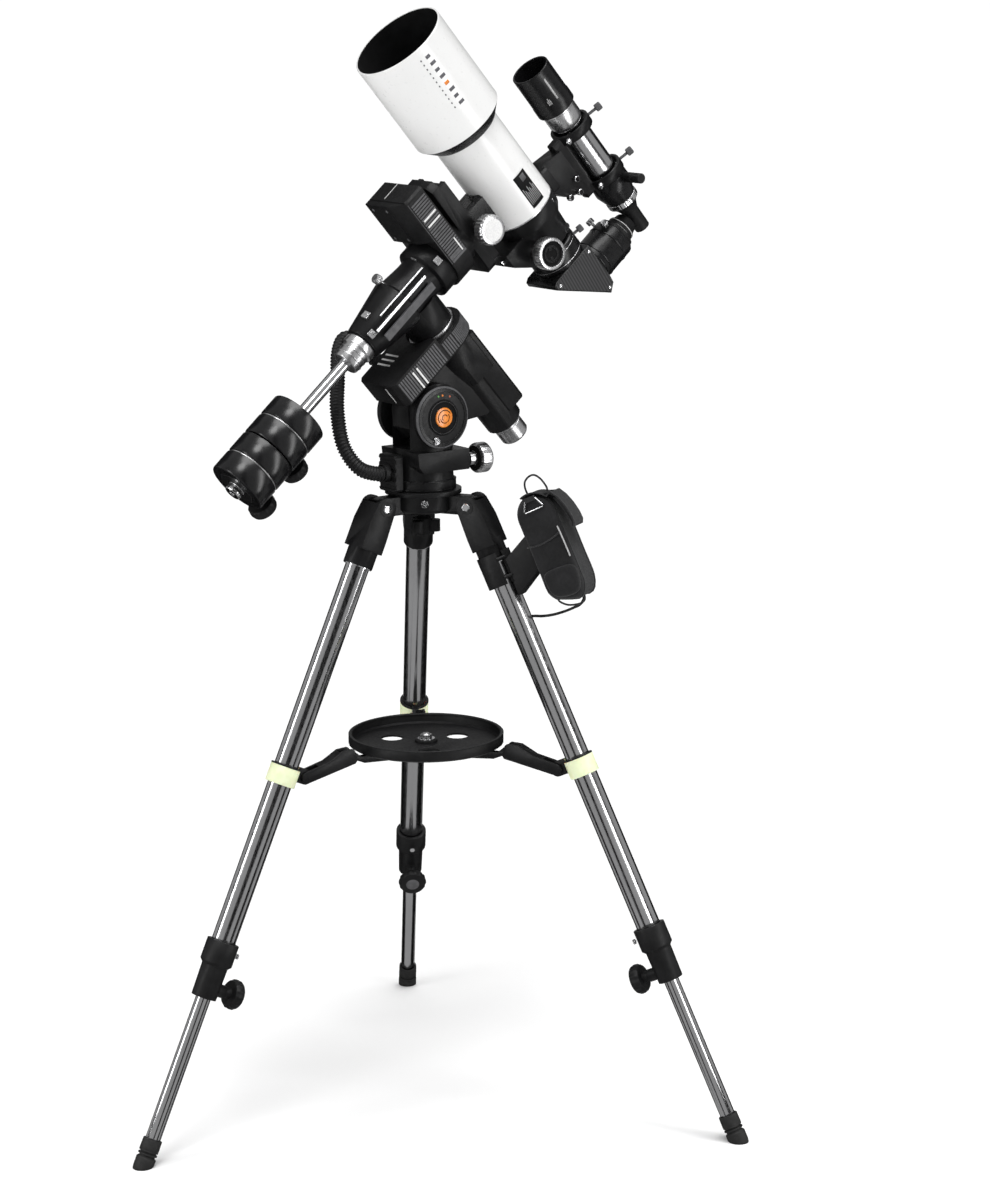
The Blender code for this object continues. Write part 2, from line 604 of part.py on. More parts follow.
def build_ra_group(tilt):
    build_ra_housing(tilt)
    cover = drive_cover(RA_X, RA_REACH, 0.0439, RA_COVER_TOP, "-X")
    step = box((0.0620, -0.06, RING_Z[0] - GAP), (0.20, 0.06, 0.12))
    seat = rod(0.0350, RING_Z[0] - GAP, 0.12, 32, "Z", (RA_X, 0, 0))
    finish(cut(cover, step, seat), "ra_drive_cover", tilt, "black_plastic")
    profile = [(0, -0.1300), (0.0165, -0.1300), (0.0195, -0.1270), (0.0195, -0.1033), (0, -0.1033)]
    slide = axis_empty("polar_cap_slide", tilt, (RA_X, 0, -0.1033))
    finish(turned(profile, 24, "Z", (RA_X, 0, 0)), "polar_cap", slide, "aluminium")


def build_dec_housing(ra):
    """What turns on the polar axis: setting ring, declination housing and its drive cover."""
    ring = rod(0.0335, RING_Z[0], RING_Z[1], 28, "Z", (RA_X, 0, 0))
    finish(ring, "setting_ring", ra, "aluminium")
    neck = rod(0.0312, RING_Z[1] + GAP, DEC_Z - 0.018, 28, "Z", (RA_X, 0, 0))
    top = DEC_COVER_X - GAP
    profile = [(0, HOUSING_X), (0.0240, HOUSING_X), (0.0250, HOUSING_X + 0.0020), (0.0316, 0.0360)]
    profile += [(0.0367, 0.0670), (0.0335, 0.0710), (0.0302, 0.1050), (0.0302, 0.1190)]
    profile += [(0.0385, 0.1205), (0.0385, top), (0, top)]
    barrel = turned(profile, 28, "X", (0, 0, DEC_Z))
    finish(union(barrel, neck), "dec_housing", ra, "black_paint")
    cover = drive_cover(DEC_Z, DEC_REACH, DEC_COVER_X, DEC_COVER_END, "+Z")
    back = DEC_COVER_X + 0.004
    outline = [(0.1343, 0.0420), (back, 0.0420), (back, -0.0410), (0.1415, -0.0410), (0.1343, -0.0150)]
    motor = prism(outline, 0.1735, DEC_Z + DEC_REACH - 0.0015, "Z")
    finish(union(cover, motor), "dec_drive_cover", ra, "black_plastic")


def build_shaft(dec):
    """Chromed counterweight shaft, the lock ring at its root and the nut at its end."""
    low = HOUSING_X - GAP
    profile = [(0, -0.0405), (0.0140, -0.0405), (0.0180, -0.0385), (0.0190, -0.0185), (0.0215, -0.0165)]
    nut = turned(profile + [(0.0215, -0.0080), (0.0200, low), (0, low)], 24, "X", (0, 0, DEC_Z))
    socket = rod(0.0083, -0.10, -0.0150, 16, "X", (0, 0, DEC_Z))
    finish(cut(nut, socket), "shaft_lock_ring", dec, "chrome")
    profile = [(0, -0.2635), (0.0040, -0.2635), (0.0040, -0.2575), (0.0080, -0.2575), (0.0080, -0.0154)]
    shaft = turned(profile + [(0, -0.0154)], 16, "X", (0, 0, DEC_Z))
    finish(shaft, "counterweight_shaft", dec, "chrome")
    profile = [(0.0043, -0.2655), (0.0105, -0.2655), (0.0115, -0.2640), (0.0115, -0.2600), (0.0105, -0.2580)]
    finish(turned(profile + [(0.0043, -0.2580)], 16, "X", (0, 0, DEC_Z)), "shaft_end_nut", dec, "chrome")


def build_weight(slide, number, outer_end, inner_end):
    """Two-band counterweight with chamfered edges, and the clamp knob it carries."""
    r = WEIGHT_R
    c = 0.0016
    middle = (outer_end + inner_end) / 2
    profile = [(0.0083, outer_end), (r - 2 * c, outer_end), (r, outer_end + c), (r, middle - c)]
    profile += [(r - c, middle), (r, middle + c), (r, inner_end - c), (r - c, inner_end), (0.0083, inner_end)]
    weight = turned(profile, 36, "X", (0, 0, DEC_Z))
    x = outer_end + 0.0140
    place = Matrix.Translation((x, 0, DEC_Z)) @ Matrix.Rotation(WEIGHT_KNOB_TURN, 4, "X")
    socket = rod(0.0060, 0.0250, 0.06, 12)
    socket.data.transform(place)
    finish(cut(weight, socket), f"counterweight_{number}", slide, "black_paint")
    profile = [(0, 0.0260), (0.0052, 0.0260), (0.0052, r + 0.0050), (0.0165, r + 0.0060), (0.0185, r + 0.0085)]
    profile += [(0.0185, r + 0.0165), (0.0160, r + 0.0200), (0.0090, r + 0.0210), (0, r + 0.0210)]
    axis = empty(f"weight_knob_axis_{number}", slide, (x, 0, DEC_Z), (WEIGHT_KNOB_TURN, 0, 0))
    finish(turned(profile, 18), f"weight_knob_{number}", axis, "black_plastic")


def build_saddle(dec):
    """Saddle plate on the declination axis and its clamp knob."""
    base = rod(0.0340, DEC_COVER_END + GAP, 0.1880, 28, "X", (0, 0, DEC_Z))
    plate = box((0.1850, -0.0300, 0.0740), (0.1990, 0.0300, 0.2230), 0.008, "X")
    jaw = [(0.1970, -0.0290), (0.2100, -0.0290), (0.2100, -0.0193), (0.1970, -0.0240)]
    near = prism(jaw, 0.0840, 0.2130, "Z")
    far = prism([(x, -y) for x, y in reversed(jaw)], 0.0840, 0.2130, "Z")
    boss = rod(0.0090, -0.0380, -0.0260, 14, "Y", SADDLE_KNOB_AT)
    finish(union(base, plate, near, far, boss), "saddle", dec, "black_paint")
    profile = [(0, -0.0640), (0.0175, -0.0640), (0.0200, -0.0615), (0.0200, -0.0480), (0.0165, -0.0450)]
    profile += [(0.0080, -0.0440), (0.0070, -0.0383), (0, -0.0383)]
    axis = axis_empty("saddle_knob_axis", dec, SADDLE_KNOB_AT)
    finish(turned(profile, 24, "Y", SADDLE_KNOB_AT), "saddle_knob", axis, "aluminium")


# ----------------------------------------------------------------- telescope
def build_tube_parts(dec):
    """Dovetail foot, dew shield, objective and main tube."""
    outline = [(0.1994, -0.0222), (0.2106, -0.0184), (0.2106, 0.0184), (0.1994, 0.0222)]
    rail = prism(outline, 0.0800, 0.2080, "Z")
    foot = box((0.2095, -0.0180, 0.0940), (0.2550, 0.0180, 0.1560), 0.004, "X")
    hollow = rod(TUBE_R + GAP, 0.05, 0.25, 36, "Z", (OTA_X, 0, 0))
    finish(cut(union(rail, foot), hollow), "dovetail_foot", dec, "black_paint")
    back = TUBE_FRONT_Z + GAP
    inside = SHIELD_R - 0.0030
    profile = [(0.0440, back), (0.0480, back), (0.0600, SHIELD_BACK_Z - 0.002), (SHIELD_R, SHIELD_BACK_Z)]
    profile += [(SHIELD_R, FRONT_Z - 0.0010), (SHIELD_R - 0.0010, FRONT_Z), (inside, FRONT_Z)]
    profile += [(inside, 0.2550), (0.0530, 0.2550), (0.0530, 0.2490), (0.0440, 0.2490)]
    finish(turned(profile, 40, "Z", (OTA_X, 0, 0)), "dew_shield", dec, "white_paint")
    profile = [(0, 0.2493), (0.0500, 0.2493), (0.0500, 0.2530), (0.0300, 0.2560), (0, 0.2572)]
    finish(turned(profile, 32, "Z", (OTA_X, 0, 0)), "objective_lens", dec, "coated_glass")
    tube = rod(TUBE_R, TUBE_BACK_Z, TUBE_FRONT_Z, 40, "Z", (OTA_X, 0, 0), bore=TUBE_R - 0.0018)
    finish(tube, "main_tube", dec, "white_paint")


def build_focuser(dec, draw):
    """Rack focuser: casting, drawtube, and the pinion with its two knobs."""
    front = TUBE_BACK_Z - GAP
    profile = [(0, 0.0280), (0.0340, 0.0280), (0.0360, 0.0300), (0.0375, 0.0560), (0.0455, 0.0700)]
    body = turned(profile + [(TUBE_R, 0.0740), (TUBE_R, front), (0, front)], 32, "Z", (OTA_X, 0, 0))
    outline = [(0.2160, 0.0720), (0.2160, 0.0520), (0.2440, 0.0250), (0.2640, 0.0250), (0.2640, 0.0720)]
    box_part = prism(outline, -0.0270, 0.0270, "Y")
    bore = rod(0.0283, 0.0, 0.12, 28, "Z", (OTA_X, 0, 0))
    hole = rod(0.0055, -0.05, 0.05, 14, "Y", PINION_AT)
    finish(cut(union(body, box_part), bore, hole), "focuser_body", dec, "black_paint")
    profile = [(0.0258, -0.0060), (0.0350, -0.0060), (0.0355, -0.0030), (0.0355, 0.0200), (0.0330, 0.0230)]
    profile += [(0.0280, 0.0240), (0.0280, 0.0860), (0.0258, 0.0860)]
    finish(turned(profile, 28, "Z", (OTA_X, 0, 0)), "drawtube", draw, "aluminium")
    half = [(0.0050, 0.0385), (0.0080, 0.0385), (0.0080, 0.0450), (0.0200, 0.0455), (0.0215, 0.0480)]
    half += [(0.0215, 0.0625), (0.0205, 0.0640), (0.0165, 0.0640), (0.0155, 0.0600), (0, 0.0600)]
    profile = [(radius, -height) for radius, height in reversed(half)] + half
    axis = axis_empty("pinion_axis", dec, PINION_AT)
    finish(turned(profile, 24, "Y", PINION_AT), "focus_knobs", axis, "aluminium")


def build_diagonal(turn):
    """Mirror diagonal that turns the light towards the eyepiece, and the eyepiece."""
    outline = [(0.2490, -0.0065), (0.2430, -0.0100), (0.2430, -0.0160), (0.3048, -0.0818)]
    outline += [(0.3165, -0.0735), (0.3187, -0.0600), (0.3187, -0.0065)]
    block = prism(outline, -0.0320, 0.0320, "Y")
    nose = rod(0.0255, -0.010, 0.0240, 24, "Z", (OTA_X, 0, 0))
    profile = [(0, 0.3100), (0.0290, 0.3100), (0.0290, 0.3715), (0.0270, 0.3735), (0, 0.3735)]
    holder = turned(profile, 28, "X", (0, 0, EYE_Z))
    finish(union(block, nose, holder), "star_diagonal", turn, "black_paint")
    profile = [(0, 0.3738), (0.0240, 0.3738), (0.0240, 0.3790), (0.0195, 0.3810), (0.0190, 0.3890)]
    profile += [(0.0165, 0.3920), (0.0150, 0.3990), (0.0135, 0.4010), (0.0120, 0.4010), (0.0100, 0.3980)]
    finish(turned(profile + [(0, 0.3975)], 28, "X", (0, 0, EYE_Z)), "eyepiece", turn, "black_plastic")


def build_finder(dec):
    """Straight-through finder in two rings on a bracket at the back of the tube."""
    rings = rod(0.0285, 0.1030, 0.1160, 28, "Z", (FINDER_X, 0, 0), bore=0.0243)
    spine = box((0.3730, -0.0070, 0.0235), (0.3900, 0.0070, 0.1160), 0.002, "X")
    lower_ring = rod(0.0285, 0.0235, 0.0360, 28, "Z", (FINDER_X, 0, 0), bore=0.0243)
    outline = [(0.3300, 0.1080), (0.3450, 0.1120), (0.3760, 0.1060), (0.3760, 0.0280), (0.3600, 0.0440)]
    stalk = prism(outline + [(0.3460, 0.0510), (0.3300, 0.0740)], -0.0130, 0.0130, "Y")
    base = box((0.3200, -0.0200, 0.0740), (0.3420, 0.0200, 0.1100), 0.003, "X")
    hollow = rod(TUBE_R + GAP, 0.0, 0.25, 40, "Z", (OTA_X, 0, 0))
    clear = rod(0.0243, -0.05, 0.20, 28, "Z", (FINDER_X, 0, 0))
    bracket = cut(union(rings, spine, lower_ring, stalk, base), hollow, clear)
    finish(bracket, "finder_bracket", dec, "black_paint")
    profile = [(0, 0.1560), (0.0215, 0.1560), (0.0235, 0.2110), (0.0265, 0.2120), (0.0265, 0.1640)]
    profile += [(0.0272, 0.1620), (0.0272, 0.1480), (0.0235, 0.1460), (0.0235, 0.1250), (0.0205, 0.1180)]
    profile += [(0.0205, 0.0230), (0.0262, 0.0215), (0.0270, 0.0040), (0.0215, -0.0120), (0.0225, -0.0145)]
    profile += [(0.0225, -0.0220), (0.0200, -0.0228), (0.0150, -0.0300), (0.0110, -0.0400), (0.0105, -0.0715)]
    profile += [(0.0080, -0.0715), (0.0070, -0.0660), (0, -0.0660)]
    scope = turned(profile, 28, "Z", (FINDER_X, 0, 0))
    lamp = rod(0.0068, -0.0610, -0.0150, 12, "Y", (FINDER_X + 0.0090, 0, 0.0144))
    finish(union(scope, lamp), "finder_scope", dec, "black_paint")


# --------------------------------------------------------------------- build
def build():
    model = empty("model", None, (-CENTRE_X, -CENTRE_Y, 0))
    build_tripod(model)
    head = empty("azimuth_axis", model)
    build_azimuth_head(head)
    build_conduit(head)
    tilt = empty("latitude_axis", head, (0, 0, PIVOT_Z), (0, LATITUDE - math.pi / 2, 0))
    build_ra_group(tilt)
    ra = axis_empty("ra_axis", tilt, (RA_X, 0, 0))
    dec = axis_empty("dec_axis", ra, (0, 0, DEC_Z))
    build_dec_housing(ra)
    build_shaft(dec)
    for number, (outer_end, inner_end) in enumerate(WEIGHT_ENDS, 1):
        slide = axis_empty(f"weight_slide_{number}", dec, (outer_end, 0, DEC_Z))
        build_weight(slide, number, outer_end, inner_end)
    build_saddle(dec)
    build_tube_parts(dec)
    draw = axis_empty("draw_slide", dec, (OTA_X, 0, 0))
    build_focuser(dec, draw)
    build_diagonal(axis_empty("diagonal_axis", draw, (OTA_X, 0, EYE_Z)))
    build_finder(dec)


build()
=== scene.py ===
"""Looks of the refractor telescope: materials, edges, trim, pouch, conduit, cord, light and camera."""
import math

import bmesh
import bpy
from mathutils import Euler, Matrix, Vector, noise


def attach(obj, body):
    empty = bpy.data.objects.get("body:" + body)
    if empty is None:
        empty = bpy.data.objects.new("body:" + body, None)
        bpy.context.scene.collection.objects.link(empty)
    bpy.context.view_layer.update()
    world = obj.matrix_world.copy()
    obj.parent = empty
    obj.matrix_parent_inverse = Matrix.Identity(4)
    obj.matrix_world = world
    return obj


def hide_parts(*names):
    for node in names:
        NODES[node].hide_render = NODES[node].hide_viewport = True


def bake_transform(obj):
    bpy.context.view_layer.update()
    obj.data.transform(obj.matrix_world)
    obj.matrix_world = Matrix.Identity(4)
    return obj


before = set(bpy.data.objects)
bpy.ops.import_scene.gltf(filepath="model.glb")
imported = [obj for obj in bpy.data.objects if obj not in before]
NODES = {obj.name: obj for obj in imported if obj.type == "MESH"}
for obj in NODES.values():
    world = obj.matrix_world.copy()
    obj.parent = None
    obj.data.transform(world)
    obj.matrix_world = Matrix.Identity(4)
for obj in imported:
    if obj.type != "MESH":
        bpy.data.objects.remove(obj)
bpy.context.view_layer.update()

# ---------------------------------------------------------------- dimensions, as in the CAD, in metres
LATITUDE = math.radians(49.0)
PIVOT_Z = 0.9275
RA_X = 0.084
DEC_Z = 0.133
OTA_X = 0.2875
EYE_Z = -0.0475
FINDER_X = 0.415
TUBE_R = 0.0462
SHIELD_R = 0.0626
HINGE_R = 0.07
HINGE_Z = 0.812
FOOT_R = 0.4434
LEG_TILT = math.atan2(FOOT_R - HINGE_R, HINGE_Z)
LEG_AZIMUTHS = {"a": 180.0, "b": -60.0, "c": 60.0}
LEG_SOCKET_END = -0.08
COLLAR_Z = -0.365
CLAMP_KNOB_Z = -0.652
POUCH_X = 0.0885                # centre of the pouch's rounded top, in the leg's frame
POUCH_TOP = -0.045
WEIGHT_R = 0.039
WEIGHT_ENDS = ((-0.1935, -0.1315), (-0.2565, -0.1945))
WEIGHT_KNOB_TURN = math.radians(192.0)
HANDSET_CORD_R = 0.0018
HANDSET_CORD_RUN = [(0.0964, 0, -0.1629), (0.0955, 0, -0.1656), (0.0915, 0, -0.169),
    (0.0852, 0.001, -0.1712), (0.0764, 0.003, -0.1716), (0.0624, 0.006, -0.1719), (0.0422, 0.011, -0.1707),
    (0.0242, 0.016, -0.1675), (0.009, 0.0205, -0.163), (-0.003, 0.0235, -0.1618), (-0.012, 0.026, -0.166),
    (-0.0165, 0.0285, -0.176), (-0.0175, 0.0302, -0.189)]
HANK_TURN = math.radians(26.0)
HANK_AT = 0.0345
HANK_TOP = -0.2275              # centre of the turns' upper bend
HANK_BOTTOM = -0.2855
HANK_RINGS = (0.0147, 0.0111)   # radii of its outer and inner turns
HANK_DEPTH = 0.0051
CONDUIT_R = 0.0098
CONDUIT_PATH = [(-0.0575, 0, 0.856), (-0.073, 0, 0.856), (-0.097, 0.004, 0.866), (-0.113, 0.014, 0.895),
    (-0.111, 0.03, 0.937), (-0.1, 0.045, 0.974), (-0.09, 0.058, 1.006), (-0.074, 0.068, 1.023),
    (-0.053, 0.071, 1.018), (-0.04, 0.066, 1.003), (-0.034, 0.057, 0.994), (-0.032, 0.0435, 0.992)]
CONDUIT_PITCH = 0.0042
ROW_SHIFT = 0.04425             # from the hub's axis to the middle of the whole object
HEAD = Matrix.Translation((ROW_SHIFT, 0, 0))
TILT = HEAD @ Matrix.Translation((0, 0, PIVOT_Z)) @ Matrix.Rotation(LATITUDE - math.pi / 2, 4, "Y")


def turn_at(spot, degrees, axis):
    """The place at a spot, turned about one axis through it."""
    return Matrix.Translation(spot) @ Matrix.Rotation(math.radians(degrees), 4, axis)


def leg_frame(letter):
    """Origin on the hinge pin, Z up along the leg, X outwards."""
    turn = math.radians(LEG_AZIMUTHS[letter])
    hinge = Matrix.Translation((HINGE_R * math.cos(turn), HINGE_R * math.sin(turn), HINGE_Z))
    return HEAD @ hinge @ Matrix.Rotation(turn, 4, "Z") @ Matrix.Rotation(-LEG_TILT, 4, "Y")


# ------------------------------------------------------------------ camera
CAMERA_AT = (-2.1937, -3.29745, 1.5412)
CAMERA_TILT = 77.8042           # up from straight down, in degrees
CAMERA_ROLL = 0.3766
CAMERA_HEADING = -35.571        # about the vertical, from +Y
CAMERA_LENS = 113.33
CAMERA_SENSOR = 36.0


def make_camera():
    """The camera at the photograph's viewing angle."""
    turn = Euler([math.radians(angle) for angle in (CAMERA_TILT, CAMERA_ROLL, CAMERA_HEADING)])
    data = bpy.data.cameras.new("camera")
    data.sensor_fit = "HORIZONTAL"
    data.sensor_width = CAMERA_SENSOR
    data.lens = CAMERA_LENS
    data.clip_end = 1000.0
    camera = bpy.data.objects.new("camera", data)
    camera.matrix_world = Matrix.Translation(CAMERA_AT) @ turn.to_matrix().to_4x4()
    bpy.context.scene.collection.objects.link(camera)
    bpy.context.scene.camera = camera


# --------------------------------------------------------------- materials
NOISE_LOW = 0.3                 # the noise hardly leaves this range
NOISE_HIGH = 0.7
MIX_FACTOR = 0                  # sockets of a Mix node that mixes colours
MIX_A = 6
MIX_B = 7
MIX_RESULT = 2
LOOKS = {}


class Look:
    """A Principled material with its texture nodes added one at a time.  LOOKS holds it under its name."""

    def __init__(self, name, colour, metal=0.0, rough=0.5, **sockets):
        made = bpy.data.materials.new(f"{name}_look")
        made.use_nodes = True
        LOOKS[name] = made
        self.tree = made.node_tree
        self.shader = self.tree.nodes["Principled BSDF"]
        self.shader.inputs["Base Color"].default_value = (*colour, 1.0)
        self.shader.inputs["Metallic"].default_value = metal
        self.shader.inputs["Roughness"].default_value = rough
        self.colour = colour
        for socket, value in sockets.items():
            self.shader.inputs[socket.replace("_", " ")].default_value = value
        self.place = self.node("ShaderNodeTexCoord").outputs["Object"]
        self.height = None

    def node(self, kind, **values):
        """A new node, with the values of its sockets or of its own settings."""
        made = self.tree.nodes.new(kind)
        for key, value in values.items():
            if key in made.inputs:
                made.inputs[key].default_value = value
            else:
                setattr(made, key, value)
        return made

    def link(self, a, b):
        self.tree.links.new(a, b)

    def noise(self, scale, detail=3.0, stretch=(1, 1, 1)):
        """A noise pattern, as a number about 0.5."""
        mapping = self.node("ShaderNodeMapping", Scale=stretch)
        self.link(self.place, mapping.inputs["Vector"])
        made = self.node("ShaderNodeTexNoise", Scale=scale, Detail=detail)
        self.link(mapping.outputs["Vector"], made.inputs["Vector"])
        return made.outputs["Fac"]

    def wave(self, scale, turn=(0, 0, 0), axis="X"):
        """Straight bands across one axis."""
        mapping = self.node("ShaderNodeMapping", Rotation=turn)
        self.link(self.place, mapping.inputs["Vector"])
        made = self.node("ShaderNodeTexWave", Scale=scale, bands_direction=axis)
        self.link(mapping.outputs["Vector"], made.inputs["Vector"])
        return made.outputs["Fac"]

    def ramp(self, value, low, high):
        """Spreads a pattern over a range of values."""
        made = self.node("ShaderNodeMapRange")
        made.inputs["From Min"].default_value = NOISE_LOW
        made.inputs["From Max"].default_value = NOISE_HIGH
        made.inputs["To Min"].default_value = low
        made.inputs["To Max"].default_value = high
        self.link(value, made.inputs["Value"])
        return made.outputs["Result"]

    def mottle(self, value, other):
        """Varies the colour between its own and another one."""
        made = self.node("ShaderNodeMix", data_type="RGBA")
        made.inputs[MIX_A].default_value = (*self.colour, 1.0)
        made.inputs[MIX_B].default_value = (*other, 1.0)
        self.link(self.ramp(value, 0.0, 1.0), made.inputs[MIX_FACTOR])
        self.link(made.outputs[MIX_RESULT], self.shader.inputs["Base Color"])
        return self

    def vary(self, value, low, high):
        """Varies the roughness."""
        self.link(self.ramp(value, low, high), self.shader.inputs["Roughness"])
        return self

    def bump(self, value, depth, strength=1.0):
        """Adds fine relief on top of any that is there already."""
        made = self.node("ShaderNodeBump", Strength=strength, Distance=depth)
        self.link(value, made.inputs["Height"])
        if self.height:
            self.link(self.height, made.inputs["Normal"])
        self.height = made.outputs["Normal"]
        self.link(self.height, self.shader.inputs["Normal"])
        return self


def make_black_looks():
    casting = Look("black_casting", (0.0042, 0.0042, 0.0046), rough=0.4, Specular_IOR_Level=0.24)
    casting.mottle(casting.noise(60), (0.008, 0.008, 0.0084)).vary(casting.noise(500), 0.3, 0.46)
    casting.bump(casting.noise(1500, 2), 0.00016, 0.55).bump(casting.noise(170, 2), 0.00025, 0.3)
    anodised = Look("black_anodised", (0.0042, 0.0042, 0.0046), rough=0.3, Specular_IOR_Level=0.32)
    anodised.mottle(anodised.noise(90), (0.0075, 0.0075, 0.0082)).vary(anodised.noise(260), 0.22, 0.34)
    anodised.bump(anodised.noise(1500, 2), 0.00004, 0.2)
    plastic = Look("black_plastic", (0.005, 0.005, 0.0054), rough=0.5, Specular_IOR_Level=0.24)
    plastic.mottle(plastic.noise(70), (0.009, 0.009, 0.0094)).vary(plastic.noise(300), 0.4, 0.56)
    plastic.bump(plastic.noise(1900, 2), 0.00018, 0.5)
    panel = Look("grey_panel", (0.06, 0.06, 0.063), rough=0.5, Specular_IOR_Level=0.35)
    panel.mottle(panel.noise(120), (0.09, 0.09, 0.094)).vary(panel.noise(300), 0.38, 0.58)
    panel.bump(panel.noise(1900, 2), 0.00015, 0.4)


def make_metal_looks():
    brushed = Look("brushed_aluminium", (0.62, 0.62, 0.63), metal=1.0, rough=0.3)
    brushed.mottle(brushed.noise(80, 4), (0.76, 0.76, 0.765))
    brushed.vary(brushed.noise(700, 2, (1, 1, 0.04)), 0.24, 0.34)
    brushed.bump(brushed.noise(1300, 2, (1, 1, 0.05)), 0.00004, 0.16)
    chrome = Look("chrome", (0.82, 0.82, 0.83), metal=1.0, rough=0.1)
    chrome.mottle(chrome.noise(40), (0.74, 0.745, 0.755)).vary(chrome.noise(220, 4), 0.06, 0.14)
    chrome.bump(chrome.noise(700, 2), 0.00001, 0.1)
    steel = Look("polished_steel", (0.68, 0.68, 0.69), metal=1.0, rough=0.18)
    steel.mottle(steel.noise(14, 4, (1, 1, 0.15)), (0.6, 0.6, 0.61))
    steel.vary(steel.noise(420, 3, (1, 1, 0.03)), 0.13, 0.22)
    steel.bump(steel.noise(1400, 2, (1, 1, 0.03)), 0.00002, 0.12)


def make_paint_looks():
    white = Look("white_enamel", (0.725, 0.725, 0.72), rough=0.28, Coat_Weight=0.35, Coat_Roughness=0.12)
    white.mottle(white.noise(18), (0.71, 0.71, 0.705)).vary(white.noise(240), 0.27, 0.31)
    white.bump(white.noise(500, 2), 0.00003, 0.12)
    mark = Look("white_mark", (0.74, 0.74, 0.73), rough=0.5)
    mark.mottle(mark.noise(600), (0.6, 0.6, 0.6)).bump(mark.noise(1500), 0.00005, 0.3)
    ink = Look("grey_ink", (0.07, 0.07, 0.08), rough=0.5)
    ink.mottle(ink.noise(700), (0.12, 0.12, 0.13)).bump(ink.noise(1500), 0.00003, 0.3)
    orange = Look("orange_enamel", (0.8, 0.25, 0.02), rough=0.28, Coat_Weight=0.4)
    orange.mottle(orange.noise(160), (0.62, 0.17, 0.012)).bump(orange.noise(800), 0.00004, 0.3)


def make_moulded_looks():
    rubber = Look("rubber", (0.01, 0.01, 0.01), rough=0.7, Specular_IOR_Level=0.3)
    rubber.mottle(rubber.noise(100), (0.019, 0.019, 0.0185)).vary(rubber.noise(300), 0.6, 0.8)
    rubber.bump(rubber.noise(1400, 3), 0.0002, 0.5)
    glow = Look("luminous_plastic", (0.8, 0.8, 0.54), rough=0.45, Subsurface_Weight=0.15)
    glow.mottle(glow.noise(90), (0.72, 0.73, 0.45)).vary(glow.noise(260), 0.38, 0.52)
    glow.bump(glow.noise(1200, 2), 0.00008, 0.35)
    glass = Look("coated_glass", (0.006, 0.014, 0.012), rough=0.03, Specular_IOR_Level=0.8, Coat_Weight=1.0)
    glass.mottle(glass.noise(12), (0.012, 0.01, 0.022)).vary(glass.noise(90), 0.02, 0.05)


def make_cloth_looks():
    cloth = Look("pouch_fabric", (0.0065, 0.0065, 0.007), rough=0.85, Sheen_Weight=0.12,
        Specular_IOR_Level=0.2)
    weave = cloth.node("ShaderNodeMath", operation="MULTIPLY")
    slant = (0, 0.785, 0)
    cloth.link(cloth.wave(420, slant), weave.inputs[0])
    cloth.link(cloth.wave(420, slant, axis="Z"), weave.inputs[1])
    cloth.mottle(cloth.noise(35), (0.0125, 0.0125, 0.0135)).vary(cloth.noise(200), 0.72, 0.92)
    cloth.bump(weave.outputs[0], 0.00025, 0.55).bump(cloth.noise(45, 4), 0.0014, 0.35)
    webbing = Look("webbing", (0.01, 0.01, 0.011), rough=0.8, Sheen_Weight=0.2, Specular_IOR_Level=0.2)
    webbing.mottle(webbing.noise(120), (0.02, 0.02, 0.021)).bump(webbing.wave(300, axis="Z"), 0.0002, 0.6)
    # Pale grey for printed marks, and for the painted highlight along the pouch's near right edge.
    pale_print_and_painted_highlight = Look("pale_print_and_painted_highlight", (0.42, 0.42, 0.42), rough=0.6)
    pale_print_and_painted_highlight.mottle(pale_print_and_painted_highlight.noise(400), (0.3, 0.3, 0.3)).bump(pale_print_and_painted_highlight.noise(1500), 0.0001, 0.4)


def make_other_looks():
    iron = Look("iron_weight", (0.0038, 0.0038, 0.0042), rough=0.24, Specular_IOR_Level=0.5)
    iron.mottle(iron.noise(60), (0.0062, 0.0062, 0.0068)).vary(iron.noise(200), 0.22, 0.27)
    iron.bump(iron.noise(420, 3), 0.00001, 0.05)
    cable = Look("cable_rubber", (0.006, 0.006, 0.0064), rough=0.42, Specular_IOR_Level=0.38)
    cable.mottle(cable.noise(120), (0.0105, 0.0105, 0.011)).vary(cable.noise(300), 0.4, 0.56)
    cable.bump(cable.noise(1700, 2), 0.00008, 0.4)
    carbon = Look("carbon_weave", (0.004, 0.004, 0.0044), rough=0.4, Coat_Weight=0.2, Coat_Roughness=0.2)
    carbon.mottle(carbon.wave(75, (0, 0.6, 0)), (0.03, 0.03, 0.032)).bump(carbon.noise(900), 0.00005, 0.3)
    dark = Look("matt_black", (0.0035, 0.0035, 0.0037), rough=0.75, Specular_IOR_Level=0.15)
    dark.mottle(dark.noise(80), (0.0065, 0.0065, 0.0068)).bump(dark.noise(1400, 2), 0.0002, 0.5)
    green = Look("green_dot", (0.1, 0.3, 0.08), rough=0.4)
    green.mottle(green.noise(300), (0.08, 0.24, 0.06))
    red = Look("red_dot", (0.45, 0.12, 0.06), rough=0.4)
    red.mottle(red.noise(300), (0.36, 0.09, 0.05))
    floor = Look("pale_floor", (0.86, 0.86, 0.86), rough=0.9, Specular_IOR_Level=0.1)
    floor.mottle(floor.noise(0.6), (0.85, 0.85, 0.85))


# ------------------------------------------------------------------ pieces
def mesh_object(name, bm, looks):
    """The object of a finished bmesh, linked to the scene, with its looks in order."""
    mesh = bpy.data.meshes.new(name)
    bm.to_mesh(mesh)
    bm.free()
    for look in looks:
        mesh.materials.append(LOOKS[look])
    obj = bpy.data.objects.new(name, mesh)
    bpy.context.scene.collection.objects.link(obj)
    return obj


